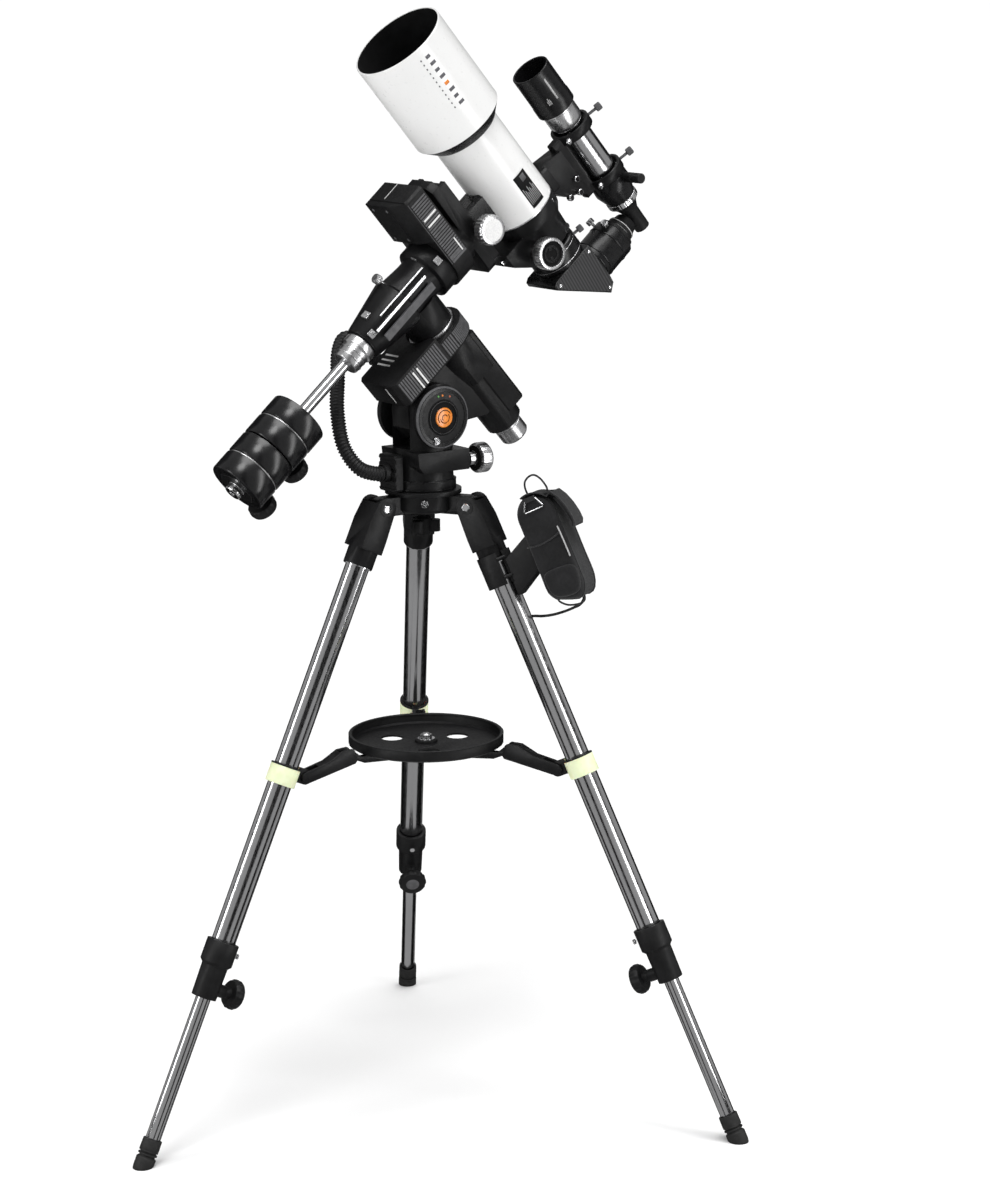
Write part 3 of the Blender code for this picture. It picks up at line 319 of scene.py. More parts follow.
class Piece:
    """One shown object.  Its shells are written in a frame of their own and may have different looks."""

    def __init__(self, name, place):
        self.name = name
        self.place = place
        self.bm = bmesh.new()
        self.looks = []

    def look(self, name):
        """The number of a look among this piece's own, added if it is new."""
        if name not in self.looks:
            self.looks.append(name)
        return self.looks.index(name)

    def face(self, corners, index):
        made = self.bm.faces.new(corners)
        made.material_index = index
        made.smooth = True

    def turned(self, look, profile, axis="Z", at=(0, 0, 0), segments=64, flutes=(0, 0.0), place=Matrix()):
        """A solid of revolution from (radius, height) points, closed on the axis or as a ring."""
        index = self.look(look)
        turn_to = {"Z": Matrix(), "X": Matrix.Rotation(math.pi / 2, 4, "Y"),
            "Y": Matrix.Rotation(-math.pi / 2, 4, "X")}
        spot = place @ Matrix.Translation(at) @ turn_to[axis]
        widest = max(radius for radius, _ in profile)
        rings = []
        for radius, height in profile:
            count = segments if radius else 1
            ring = []
            for i in range(count):
                angle = 2 * math.pi * (i + 0.5) / segments
                fluted = radius
                if flutes[0] and radius > 0.93 * widest:
                    fluted -= flutes[1] * (0.5 + 0.5 * math.cos(flutes[0] * angle))
                point = (fluted * math.cos(angle), fluted * math.sin(angle), height)
                ring.append(self.bm.verts.new(spot @ Vector(point)))
            rings.append(ring)
        pairs = list(zip(rings, rings[1:]))
        if profile[0][0] > 0:
            pairs.append((rings[-1], rings[0]))
        for low, high in pairs:
            if len(low) == 1 and len(high) == 1:
                continue
            for i in range(segments):
                j = (i + 1) % segments
                if len(low) == 1:
                    self.face((low[0], high[i], high[j]), index)
                elif len(high) == 1:
                    self.face((low[i], low[j], high[0]), index)
                else:
                    self.face((low[i], low[j], high[j], high[i]), index)

    def prism(self, look, outline, low, high, axis="Y", place=Matrix()):
        """An outline pushed along an axis.  It is in (x, z) for Y, (y, z) for X and (x, y) for Z."""
        index = self.look(look)
        order = {"Y": (0, 2, 1), "X": (2, 0, 1), "Z": (0, 1, 2)}[axis]

        def corner(u, v, along):
            """One vertex, from its place in the outline and along the axis."""
            values = (u, v, along)
            return self.bm.verts.new(place @ Vector([values[k] for k in order]))

        bottom = [corner(u, v, low) for u, v in outline]
        top = [corner(u, v, high) for u, v in outline]
        self.face(bottom, index)
        self.face(top, index)
        for i in range(len(outline)):
            j = (i + 1) % len(outline)
            self.face((bottom[i], bottom[j], top[j], top[i]), index)

    def block(self, look, low, high, place=Matrix()):
        """A box between two opposite corners."""
        outline = [(low[0], low[2]), (high[0], low[2]), (high[0], high[2]), (low[0], high[2])]
        self.prism(look, outline, low[1], high[1], "Y", place)

    def tube(self, look, line, radius, segments=16, closed=False):
        """A round tube along points.  The radius may be a function of the distance along it."""
        index = self.look(look)
        points = [Vector(p) for p in line]
        rings = []
        side = None
        run = 0.0
        count = len(points)
        for i, point in enumerate(points):
            before = points[i - 1] if i or closed else point
            after = points[(i + 1) % count] if i < count - 1 or closed else point
            ahead = (after - before).normalized()
            if i:
                run += (point - points[i - 1]).length
            if side is None:
                side = ahead.orthogonal().normalized()
            side = (side - ahead * side.dot(ahead)).normalized()
            other = ahead.cross(side)
            r = radius(run) if callable(radius) else radius
            ring = []
            for k in range(segments):
                angle = 2 * math.pi * k / segments
                outwards = math.cos(angle) * side + math.sin(angle) * other
                ring.append(self.bm.verts.new(point + r * outwards))
            rings.append(ring)
        pairs = list(zip(rings, rings[1:]))
        if closed:
            pairs.append((rings[-1], rings[0]))
        for low, high in pairs:
            for k in range(segments):
                n = (k + 1) % segments
                self.face((low[k], low[n], high[n], high[k]), index)
        if not closed:
            self.face(rings[0], index)
            self.face(rings[-1], index)

    def done(self, body, replaces=(), bevel=0.0004, steps=2, blend=None, padded=None):
        """Turns the shells into an object that rides on a body, or, given a blend, one that stays where it
        is made with its place baked in.
        """
        bmesh.ops.recalc_face_normals(self.bm, faces=self.bm.faces)
        obj = mesh_object(self.name, self.bm, self.looks)
        obj.data.transform(self.place)
        if bevel:
            round_edges(obj, bevel, steps)
        if blend:
            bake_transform(obj)
        else:
            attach(obj, body)
        if replaces:
            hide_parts(*replaces)
        return obj


SHARP_ANGLE = math.radians(32)  # edges that turn more than this are rounded


def round_edges(obj, width, steps=2):
    """A bevel on the sharp edges, with the flat faces kept flat in the shading."""
    change = obj.modifiers.new("edges", "BEVEL")
    change.width = width
    change.segments = steps
    change.limit_method = "ANGLE"
    change.angle_limit = SHARP_ANGLE
    change.harden_normals = True
    change.use_clamp_overlap = True


WELD = 1e-6
FLAT_ANGLE = math.radians(0.6)  # neighbouring faces that turn less than this become one


def refined(node, body, look, bevel=0.0008, steps=2, rule=None, others=()):
    """A finely edged shell that stands for a CAD node.  The rule gives each face's look from its centre."""
    bm = bmesh.new()
    bm.from_mesh(NODES[node].data)
    bmesh.ops.remove_doubles(bm, verts=bm.verts, dist=WELD)
    bmesh.ops.dissolve_limit(bm, angle_limit=FLAT_ANGLE, verts=bm.verts, edges=bm.edges)
    names = [look, *others]
    for face in bm.faces:
        face.smooth = True
        face.material_index = names.index(rule(face.calc_center_median())) if rule else 0
    obj = mesh_object(f"{node}_shell", bm, names)
    round_edges(obj, bevel, steps)
    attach(obj, body)
    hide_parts(node)
    return obj


def bead(inner, outer, crest, low, width):
    """The profile of a ring whose outer face rises to a crest in its middle."""
    high = low + width
    return [(inner, low), (outer, low), (crest, low + width / 2), (outer, high), (inner, high)]


def band(inner, outer, low, high):
    """The profile of a plain ring or, with no inner radius, of a disc."""
    return [(inner, low), (outer, low), (outer, high), (inner, high)]


def arc(cx, cy, radius, start, end, steps):
    """Points of a circle between two angles in degrees."""
    points = []
    for i in range(steps + 1):
        angle = math.radians(start + (end - start) * i / steps)
        points.append((cx + radius * math.cos(angle), cy + radius * math.sin(angle)))
    return points


def smoothed(path, steps):
    """A finer line through the same points."""
    points = [Vector(p) for p in path]
    line = []
    for i in range(len(points) - 1):
        before = points[max(i - 1, 0)]
        after = points[min(i + 2, len(points) - 1)]
        a, b = points[i], points[i + 1]
        for step in range(steps):
            t = step / steps
            square = (2 * before - 5 * a + 4 * b - after) * t * t
            cube = (3 * a - before - 3 * b + after) * t * t * t
            line.append(0.5 * ((2 * a) + (b - before) * t + square + cube))
    line.append(points[-1])
    return line


def spaced(line, gap):
    """Points at equal distances along a line."""
    out = [line[0].copy()]
    left = gap
    for a, b in zip(line, line[1:]):
        span = (b - a).length
        done = 0.0
        while span - done >= left:
            done += left
            out.append(a.lerp(b, done / span))
            left = gap
        left -= span - done
    return out


# ------------------------------------------------------------- handset cord
def hank_line():
    """The cord's turns, in the hank's own frame: down the left run, round, and up the right one."""
    points = []
    turns = 3
    for layer, radius in enumerate(HANK_RINGS):
        for turn in range(turns):
            loop = [(HANK_AT - radius, HANK_TOP + (HANK_BOTTOM - HANK_TOP) * i / 6) for i in range(6)]
            loop += arc(HANK_AT, HANK_BOTTOM, radius, 180, 360, 12)[:-1]
            loop += [(HANK_AT + radius, HANK_BOTTOM + (HANK_TOP - HANK_BOTTOM) * i / 6) for i in range(6)]
            loop += arc(HANK_AT, HANK_TOP, radius, 0, 180, 12)[:-1]
            for i, (y, z) in enumerate(loop):
                done = (turn + i / len(loop)) / turns
                depth = HANK_DEPTH - 2 * HANK_DEPTH * done
                points.append((depth if layer == 0 else -depth, y, z))
    tail = [(HANK_DEPTH, HANK_AT - HANK_RINGS[1], HANK_TOP - 0.004),
        (HANK_DEPTH + 0.0008, HANK_AT - 0.0109, -0.25), (HANK_DEPTH + 0.003, HANK_AT - 0.0104, -0.272),
        (HANK_DEPTH + 0.0036, HANK_AT - 0.007, -0.288), (HANK_DEPTH + 0.0018, HANK_AT - 0.0022, -0.3),
        (0.002, HANK_AT - 0.0002, -0.309), (0, HANK_AT, -0.3175)]
    return points, tail


def make_cord():
    """The handset's cord with its hank, tie and plug."""
    leg = leg_frame("b")
    hank = leg @ Matrix.Rotation(HANK_TURN, 4, "Z")
    turns, tail = hank_line()
    lead = [(-0.0004, 0.0352, -0.199), (0.0028, 0.0322, -0.207), (HANK_DEPTH, 0.0262, -0.215),
        (HANK_DEPTH, 0.0212, -0.2215)]
    route = [leg @ Vector(p) for p in HANDSET_CORD_RUN]
    route += [hank @ Vector(p) for p in lead + turns + tail]
    line = spaced(smoothed(route, 6), 0.0022)
    line.append(route[-1])
    data = bpy.data.curves.new("handset_cord_line", "CURVE")
    data.dimensions = "3D"
    data.bevel_depth = HANDSET_CORD_R
    data.bevel_resolution = 3
    data.use_fill_caps = True
    spline = data.splines.new("POLY")
    spline.points.add(len(line) - 1)
    for point, spot in zip(spline.points, line):
        point.co = (*spot, 1.0)
    spline.use_smooth = True
    data.materials.append(LOOKS["cable_rubber"])
    cord = bpy.data.objects.new("handset_cord_line", data)
    bpy.context.scene.collection.objects.link(cord)
    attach(cord, "leg_b")
    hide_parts("handset_cord")

    plug = Piece("handset_plug", hank)
    outline = [(-0.0058, -0.3362), (0.0058, -0.3362), (0.0058, -0.324), (0.0044, -0.3215),
        (0.0044, -0.3165), (-0.0044, -0.3165), (-0.0044, -0.3215), (-0.0058, -0.324)]
    plug.prism("black_plastic", outline, HANK_AT - 0.0066, HANK_AT + 0.0066)
    for i in range(5):
        low = -0.3345 + 0.0018 * i
        plug.block("brushed_aluminium", (-0.0061, HANK_AT - 0.0048, low),
            (-0.0057, HANK_AT + 0.0048, low + 0.0009))
    plug.turned("cable_rubber", [(0, -0.317), (0.0034, -0.317), (0.0031, -0.31), (0.0024, -0.306),
        (0, -0.306)], at=(0, HANK_AT, 0), segments=24)
    plug = plug.done("leg_b", ["cord_plug"], 0.0003)

    half = HANK_RINGS[0] + HANDSET_CORD_R + 0.0006
    deep = HANK_DEPTH + HANDSET_CORD_R + 0.0024
    tie = Piece("hank_tie", hank)
    loop = []
    for cx, cy, start in ((deep - 0.003, half - 0.003, 0), (-deep + 0.003, half - 0.003, 90),
            (-deep + 0.003, -half + 0.003, 180), (deep - 0.003, -half + 0.003, 270)):
        loop += [(x, y + HANK_AT, -0.2565) for x, y in arc(cx, cy, 0.003, start, start + 90, 5)]
    for lift in (-0.0022, 0.0, 0.0022):
        tie.tube("webbing", [(x, y, z + lift) for x, y, z in loop], 0.0012, 10, closed=True)
    tie = tie.done("leg_b", bevel=0)


def make_conduit():
    """Corrugated conduit, from the control box to the drive it feeds."""
    line = spaced(smoothed([HEAD @ Vector(p) for p in CONDUIT_PATH], 24), CONDUIT_PITCH / 6)

    def ribbed(run):
        """The conduit's radius at a distance along it, plain at its start."""
        wave = math.cos(2 * math.pi * run / CONDUIT_PITCH)
        return CONDUIT_R * (0.9 + 0.1 * wave) if run > 0.004 else CONDUIT_R

    pipe = Piece("corrugated_conduit", Matrix())
    pipe.tube("cable_rubber", line, ribbed, 28)
    bend_start = line[int(0.12 * len(line))]
    bend_end = line[int(0.62 * len(line))]
    pipe.done("azimuth", ["conduit"], 0, blend=("azimuth", "polar", tuple(bend_start), tuple(bend_end)))
    collar = Piece("conduit_gland", HEAD)
    collar.turned("black_plastic", [(0.01, -0.064), (0.0118, -0.064), (0.0122, -0.058), (0.0122, -0.0565),
        (0.01, -0.0565)], "X", (0, 0, 0.856), 48)
    collar.done("azimuth")


# -------------------------------------------------------------------- legs
def make_leg(letter):
    """One folding leg: fork, tubes, collar, clamp with its knob, foot and spreader arm."""
    place = leg_frame(letter)
    inverse = place.inverted()
    body = f"leg_{letter}"

    def upper(centre):
        """Black for the fork and its socket, steel for the tube that comes out of it."""
        spot = inverse @ centre
        in_socket = spot.z < -0.06 and math.hypot(spot.x, spot.y) < 0.0165
        if spot.z > LEG_SOCKET_END - 0.001 and not in_socket:
            return "black_casting"
        return "polished_steel"

    def collar(centre):
        """Pale for the band round the tube, black for the lug on it."""
        radius = math.hypot(*(inverse @ centre).xy)
        return "luminous_plastic" if radius < 0.0203 else "black_plastic"

    refined(f"upper_leg_{letter}", body, "polished_steel", 0.0011, 2, upper, ["black_casting"])
    refined(f"leg_clamp_{letter}", body, "black_plastic", 0.0008)
    refined(f"spreader_collar_{letter}", body, "luminous_plastic", 0.0008, 2, collar, ["black_plastic"])
    trim = Piece(f"leg_trim_{letter}", place)
    pin_x, pin_z = leg_point(0.19, 0.473)
    for side in (-1, 1):
        trim.turned("chrome", [(0, side * 0.0196), (0.0062, side * 0.0196), (0.0062, side * 0.0212),
            (0.0048, side * 0.0226), (0, side * 0.0228)], "Y", segments=6)
        trim.turned("black_casting", band(0, 0.0098, side * 0.019, side * 0.0206), "Y", segments=40)
    trim.turned("chrome", band(0.016, 0.0188, LEG_SOCKET_END - 0.0012, LEG_SOCKET_END + 0.0005))
    for side in (-1, 1):
        trim.turned("chrome", [(0, side * 0.0044), (0.0046, side * 0.0044), (0.0046, side * 0.0068),
            (0.002, side * 0.008), (0, side * 0.008)], "Y", (pin_x, 0, pin_z), 24)
    trim.turned("black_plastic", band(0.016, 0.0199, COLLAR_Z + 0.0118, COLLAR_Z + 0.0136))
    trim.turned("chrome", band(0, 0.0038, -0.029, -0.0265), "X", (0, 0, -0.604), 6)
    trim.done(body, bevel=0.0003)

    knob = Piece(f"clamp_grip_{letter}", place)
    knob.turned("black_plastic", [(0, -0.0485), (0.015, -0.0485), (0.018, -0.0476), (0.0197, -0.045),
        (0.0198, -0.042), (0.0194, -0.0385), (0.0165, -0.035), (0.0075, -0.0345), (0.006, -0.0273),
        (0, -0.0273)], "X", (0, 0, CLAMP_KNOB_Z), 84, (14, 0.0011))
    knob.turned("grey_panel", [(0, -0.0489), (0.0092, -0.0489), (0.0096, -0.0484), (0, -0.0482)], "X",
        (0, 0, CLAMP_KNOB_Z), 48)
    knob.done(f"clamp_knob_{letter}", [f"clamp_knob_{letter}"], 0.0006)
    refined(f"lower_tube_{letter}", f"lower_leg_{letter}", "polished_steel", 0.0005)
    refined(f"foot_{letter}", f"lower_leg_{letter}", "rubber", 0.0009)
    boot = Piece(f"foot_rings_{letter}", place)
    for low in (-0.8768, -0.8725):
        boot.turned("rubber", bead(0.0095, 0.0124, 0.0128, low, 0.002))
    boot.done(f"lower_leg_{letter}", bevel=0.0003)
    refined(f"spreader_arm_{letter}", f"arm_{letter}", "black_casting", 0.0009)


def leg_point(radius, height):
    """A (radius, height) point of the leg's plane in the leg's own frame, as (x, z)."""
    dr = radius - HINGE_R
    dz = height - HINGE_Z
    c = math.cos(LEG_TILT)
    s = math.sin(LEG_TILT)
    return (dr * c + dz * s, dz * c - dr * s)


def make_tripod():
    """The three legs, the hub, the spreader and the tray."""
    for letter in LEG_AZIMUTHS:
        make_leg(letter)
    refined("tripod_hub", "hub", "black_casting", 0.0012)
    refined("spindle_knob", "spindle", "black_plastic", 0.0011)
    refined("spreader_spider", "tray", "black_casting", 0.0009)
    refined("tray", "tray", "black_plastic", 0.0006)
    screw = Piece("hub_set_screws", HEAD)
    for azimuth in (-122, -2, 118):
        place = Matrix.Rotation(math.radians(azimuth), 4, "Z")
        screw.turned("chrome", [(0, 0.044), (0.0052, 0.044), (0.0052, 0.0468), (0.004, 0.0478),
            (0.0022, 0.0478), (0.0018, 0.0462), (0, 0.0462)], "X", (0, 0, 0.8165), 32, place=place)
    screw.done("hub", bevel=0.0002)
    nut = Piece("tray_nut", HEAD)
    nut.turned("brushed_aluminium", [(0, 0.4945), (0.008, 0.4945), (0.008, 0.4998), (0.0052, 0.5003),
        (0.0048, 0.5015), (0, 0.5015)], segments=6)
    nut.turned("chrome", band(0.004, 0.0118, 0.4935, 0.4948))
    nut.done("tray", bevel=0.0003)
    lip = Piece("tray_lip", HEAD)
    lip.turned("black_plastic", [(0.0975, 0.5013), (0.1022, 0.5013), (0.1026, 0.5022), (0.102, 0.5029),
        (0.099, 0.5029), (0.0978, 0.502)], segments=120)
    lip.done("tray", bevel=0.0002)


# ------------------------------------------------------------------- pouch
def padded_shell(piece, look, outline, half, edge, levels=9, ripple=0.0009, seed=0.0, centre_y=0.0):
    """A stuffed shell: the outline drawn in towards both faces, with soft ripples."""
    index = piece.look(look)
    cx = sum(x for x, _ in outline) / len(outline)
    cz = sum(z for _, z in outline) / len(outline)
    rings = []
    for level in range(-levels, levels + 1):
        y = half * math.sin(math.pi / 2 * level / levels)
        past = max(0.0, (abs(y) - (half - edge)) / edge)
        inset = edge * (1 - math.sqrt(max(0.0, 1 - past * past)))
        ring = []
        for x, z in outline:
            to_centre = Vector((cx - x, cz - z))
            shift = to_centre.normalized() * inset
            wave = ripple * noise.noise(Vector((x * 60 + seed, y * 45, z * 60)))
            shift -= to_centre.normalized() * wave
            ring.append(piece.bm.verts.new((x + shift.x, centre_y + y, z + shift.y)))
        rings.append(ring)
    count = len(outline)
    for low, high in zip(rings, rings[1:]):
        for i in range(count):
            j = (i + 1) % count
            piece.face((low[i], low[j], high[j], high[i]), index)
    for ring, side in ((rings[0], -1), (rings[-1], 1)):
        inner = ring
        for step in (0.72, 0.42, 0.16):
            fresh = []
            for vert in ring:
                x = cx + (vert.co.x - cx) * step
                z = cz + (vert.co.z - cz) * step
                crown = 0.0016 * (1 - step)
                crown += ripple * noise.noise(Vector((x * 50 + seed, side * 3.0, z * 50)))
                fresh.append(piece.bm.verts.new((x, vert.co.y + side * crown, z)))
            for i in range(count):
                j = (i + 1) % count
                piece.face((inner[i], inner[j], fresh[j], fresh[i]), index)
            inner = fresh
        piece.face(inner, index)


def make_pouch():
    """The padded handset pouch with its flap, pocket, seams, loops and bracket."""
    place = leg_frame("b")
    outline = arc(POUCH_X, POUCH_TOP, 0.0272, 0, 180, 22)
    left = [(0.0612, POUCH_TOP - 0.097 * (i + 1) / 12) for i in range(12)]
    outline += left + [(0.064, -0.1475), (0.068, -0.1525), (0.078, -0.1563), (0.088, -0.1597),
        (0.098, -0.1625), (0.104, -0.161), (0.1085, -0.157), (0.112, -0.15), (0.1143, -0.142)]
    outline += [(0.1143 + 0.0014 * (i + 1) / 12, -0.142 + 0.097 * (i + 1) / 12) for i in range(11)]
    bag = Piece("handset_pouch_bag", place)
    padded_shell(bag, "pouch_fabric", outline, 0.0252, 0.0085)
    bag = bag.done("leg_b", ["handset_pouch"], 0, padded=0.7)
    soften(bag)
    pocket = Piece("pouch_pocket", place)
    shape = [(0.068, -0.117), (0.078, -0.115), (0.09, -0.115), (0.103, -0.1155), (0.112, -0.1175)]
    shape += [(0.114, -0.126), (0.1138, -0.138), (0.111, -0.149), (0.105, -0.1545), (0.095, -0.1555)]
    shape += [(0.084, -0.154), (0.074, -0.151), (0.068, -0.145), (0.0665, -0.135), (0.0668, -0.125)]
    padded_shell(pocket, "pouch_fabric", shape[::-1], 0.008, 0.006, 5, 0.0008, 7.0, -0.0225)
    soften(pocket.done("leg_b", bevel=0, padded=0.8))

    flap = Piece("pouch_flap", place)
    outer = arc(POUCH_X, POUCH_TOP, 0.0302, 112, 38, 12)
    outer += [(0.12, -0.0225), (0.1268, -0.033), (0.1318, -0.046)]
    outer += [(0.1348, -0.06), (0.1352, -0.07), (0.1322, -0.0762)]
    inner = arc(POUCH_X, POUCH_TOP, 0.0276, 112, 38, 12)
    inner += [(0.116, -0.0255), (0.1215, -0.035), (0.1262, -0.047)]
    inner += [(0.1295, -0.06), (0.1308, -0.069), (0.1292, -0.0742)]
    flap.prism("pouch_fabric", outer + inner[::-1], -0.0215, 0.0085)
    flap.done("leg_b", bevel=0.0013, steps=3)
    trim = Piece("pouch_seams_and_painted_highlight", place)
    for y in (-0.017, 0.017):
        trim.tube("webbing", [(x, y, z) for x, z in outline], 0.001, 8, closed=True)
    edge = [(x, -0.0217, z) for x, z in outer]
    trim.tube("webbing", edge, 0.001, 8)
    trim.tube("webbing", smoothed([(0.062, -0.0262, -0.078), (0.076, -0.0276, -0.0802),
        (0.09, -0.028, -0.08), (0.104, -0.0276, -0.0775), (0.113, -0.0262, -0.0745)], 5), 0.0009, 8)
    # A pale line down the pouch's near right edge: a painted highlight.
    trim.tube("pale_print_and_painted_highlight", smoothed([(0.1126, -0.0256, -0.0666), (0.1133, -0.0259, -0.08),
        (0.1134, -0.0259, -0.095), (0.1132, -0.0256, -0.108)], 5), 0.001, 10)
    trim.done("leg_b", bevel=0)
    straps = Piece("pouch_straps", place)
    straps.tube("webbing", smoothed([(0.0839, -0.01, -0.015), (0.084, -0.01, -0.0064),
        (0.0872, -0.01, 0.001), (0.095, -0.01, 0.005), (0.1028, -0.01, 0.0044), (0.109, -0.01, -0.003),
        (0.1124, -0.01, -0.0145), (0.1118, -0.01, -0.021)], 6), 0.0013, 12)
    straps.tube("webbing", smoothed([(0.069, -0.015, -0.15), (0.07, -0.015, -0.1575),
        (0.08, -0.015, -0.1655), (0.096, -0.015, -0.169), (0.104, -0.015, -0.166), (0.106, -0.015, -0.157)],
        6), 0.0013, 12)
    straps.done("leg_b", bevel=0)
    ring = Piece("pouch_d_ring", place)
    line = [(0.0795, -0.0365), (0.0785, -0.0345), (0.0845, -0.0232), (0.1005, -0.0232), (0.1065, -0.0345),
        (0.1055, -0.0365)]
    ring.tube("chrome", [(x, -0.0282, z) for x, z in line], 0.0012, 12, closed=True)
    ring.block("webbing", (0.0855, -0.0297, -0.0252), (0.0995, -0.0262, -0.019))
    ring.done("leg_b", bevel=0.0003)
    refined("handset_bracket", "leg_b", "black_plastic", 0.0012)
    bolt = Piece("bracket_bolt", place @ Matrix.Rotation(math.radians(-44), 4, "Z"))
    for low in (-0.102, -0.077):
        bolt.turned("black_plastic", band(0, 0.0026, -0.006, 0.006), "Y", (0.021, 0, low), 24)
    bolt.done("leg_b", bevel=0.0003)


def soften(obj):
    """One level of subdivision, for stuffed cloth."""
    change = obj.modifiers.new("soften", "SUBSURF")
    change.levels = 1
    change.render_levels = 1


# ------------------------------------------------------------- mount pieces
def make_mount_base():
    """The azimuth head with its dials and marks, and the latitude screw."""
    refined("azimuth_head", "azimuth", "black_casting", 0.0013)
    # The box has the ribbed panels' slot but is as black as the rest.
    refined("control_box", "azimuth", "grey_panel", 0.0008, 2, lambda centre: "black_plastic",
        ["black_plastic"])
    disc = Piece("latitude_dial", HEAD @ Matrix.Translation((0, 0, PIVOT_Z)))
    for side in (-1, 1):
        face = side * 0.047
        disc.turned("black_anodised", [(0.033, face - side * 0.001), (0.033, face + side * 0.001),
            (0.0372, face + side * 0.0004), (0.0376, face - side * 0.001)], "Y", segments=96)
        disc.turned("grey_panel", [(0.0385, side * 0.044), (0.0403, side * 0.0444), (0.04, side * 0.0456),
            (0.0378, side * 0.0472), (0.037, side * 0.0462)], "Y", segments=96)
        disc.turned("matt_black", band(0, 0.0235, face - side * 0.001, face + side * 0.0004), "Y",
            segments=96)
        disc.turned("black_anodised", [(0.02, face), (0.0218, face), (0.0214, face + side * 0.0016),
            (0.0202, face + side * 0.0016)], "Y", segments=96)
    disc.done("azimuth", bevel=0.0003)
    emblem = Piece("dial_emblem", HEAD @ Matrix.Translation((0.0012, -0.0474, PIVOT_Z)))
    emblem.turned("orange_enamel", [(0, -0.0022), (0.0066, -0.0022), (0.012, -0.0014), (0.013, 0), (0, 0)],
        "Y")
    for radius, low, high in ((0.0097, 30, 215), (0.0068, 190, 400), (0.0038, 20, 230)):
        line = [(x, -0.0022 + 0.05 * radius, z) for x, z in arc(0, 0, radius, low, high, 24)]
        emblem.tube("matt_black", line, 0.00065, 8)
    emblem.done("azimuth", bevel=0.0002)
    dots = Piece("dial_marks", HEAD @ Matrix.Translation((0, -0.047, PIVOT_Z)))
    for look, angle in (("green_dot", 104), ("orange_enamel", 91), ("red_dot", 68)):
        x = 0.0285 * math.cos(math.radians(angle))
        z = 0.0285 * math.sin(math.radians(angle))
        dots.turned(look, [(0, -0.0006), (0.0012, -0.0006), (0.0015, 0), (0, 0)], "Y", (x, 0, z), 20)
    dots.done("azimuth", bevel=0)
    bolt = Piece("fork_bolts", HEAD @ Matrix.Translation((0, 0, PIVOT_Z)))
    for side in (-1, 1):
        bolt.turned("chrome", [(0, side * 0.0465), (0.0055, side * 0.0465), (0.0055, side * 0.049),
            (0.004, side * 0.0502), (0.0022, side * 0.0502), (0.002, side * 0.0488), (0, side * 0.0488)],
            "Y", (-0.011, 0, -0.03), 32)
    bolt.done("azimuth", bevel=0.0002)
    scribe = Piece("base_lines", HEAD)
    for height in (0.8428, 0.8325):
        scribe.turned("black_anodised", band(0.041, 0.0432, height, height + 0.0007), segments=96)
    scribe.done("azimuth", bevel=0.0001)

    knob = Piece("latitude_handwheel", HEAD)
    at = (0, 0, 0.8605)
    knob.turned("brushed_aluminium", [(0, 0.0703), (0.008, 0.0703), (0.009, 0.08), (0.0172, 0.0815),
        (0.0196, 0.0835), (0.0202, 0.086), (0.0202, 0.097), (0.0175, 0.1), (0.016, 0.1), (0.0115, 0.092),
        (0, 0.092)], "X", at, 120, (30, 0.0003))
    knob.turned("matt_black", [(0.0098, 0.0798), (0.01, 0.0792), (0.0165, 0.0806), (0.0166, 0.0816)], "X",
        at)
    knob.done("latitude_knob", ["latitude_knob"], 0.0005)
    stem = Piece("latitude_screw", HEAD)
    for i in range(7):
        low = 0.044 + 0.0036 * i
        stem.turned("black_anodised", bead(0.006, 0.0108, 0.0111, low, 0.0018), "X", at, 48)
    stem.done("azimuth", bevel=0.0002)


def ribs(piece, low, high, along, pitch, low_face, high_face):
    """Narrow raised ribs on one side of a cover, between two places along one axis."""
    count = int((high - low) / pitch)
    for i in range(count):
        start = low + pitch * i
        end = start + 0.6 * pitch
        if along == "X":
            piece.block("grey_panel", (start, low_face[0], low_face[1]), (end, high_face[0], high_face[1]))
        else:
            piece.block("grey_panel", (low_face[1], low_face[0], start), (high_face[1], high_face[0], end))


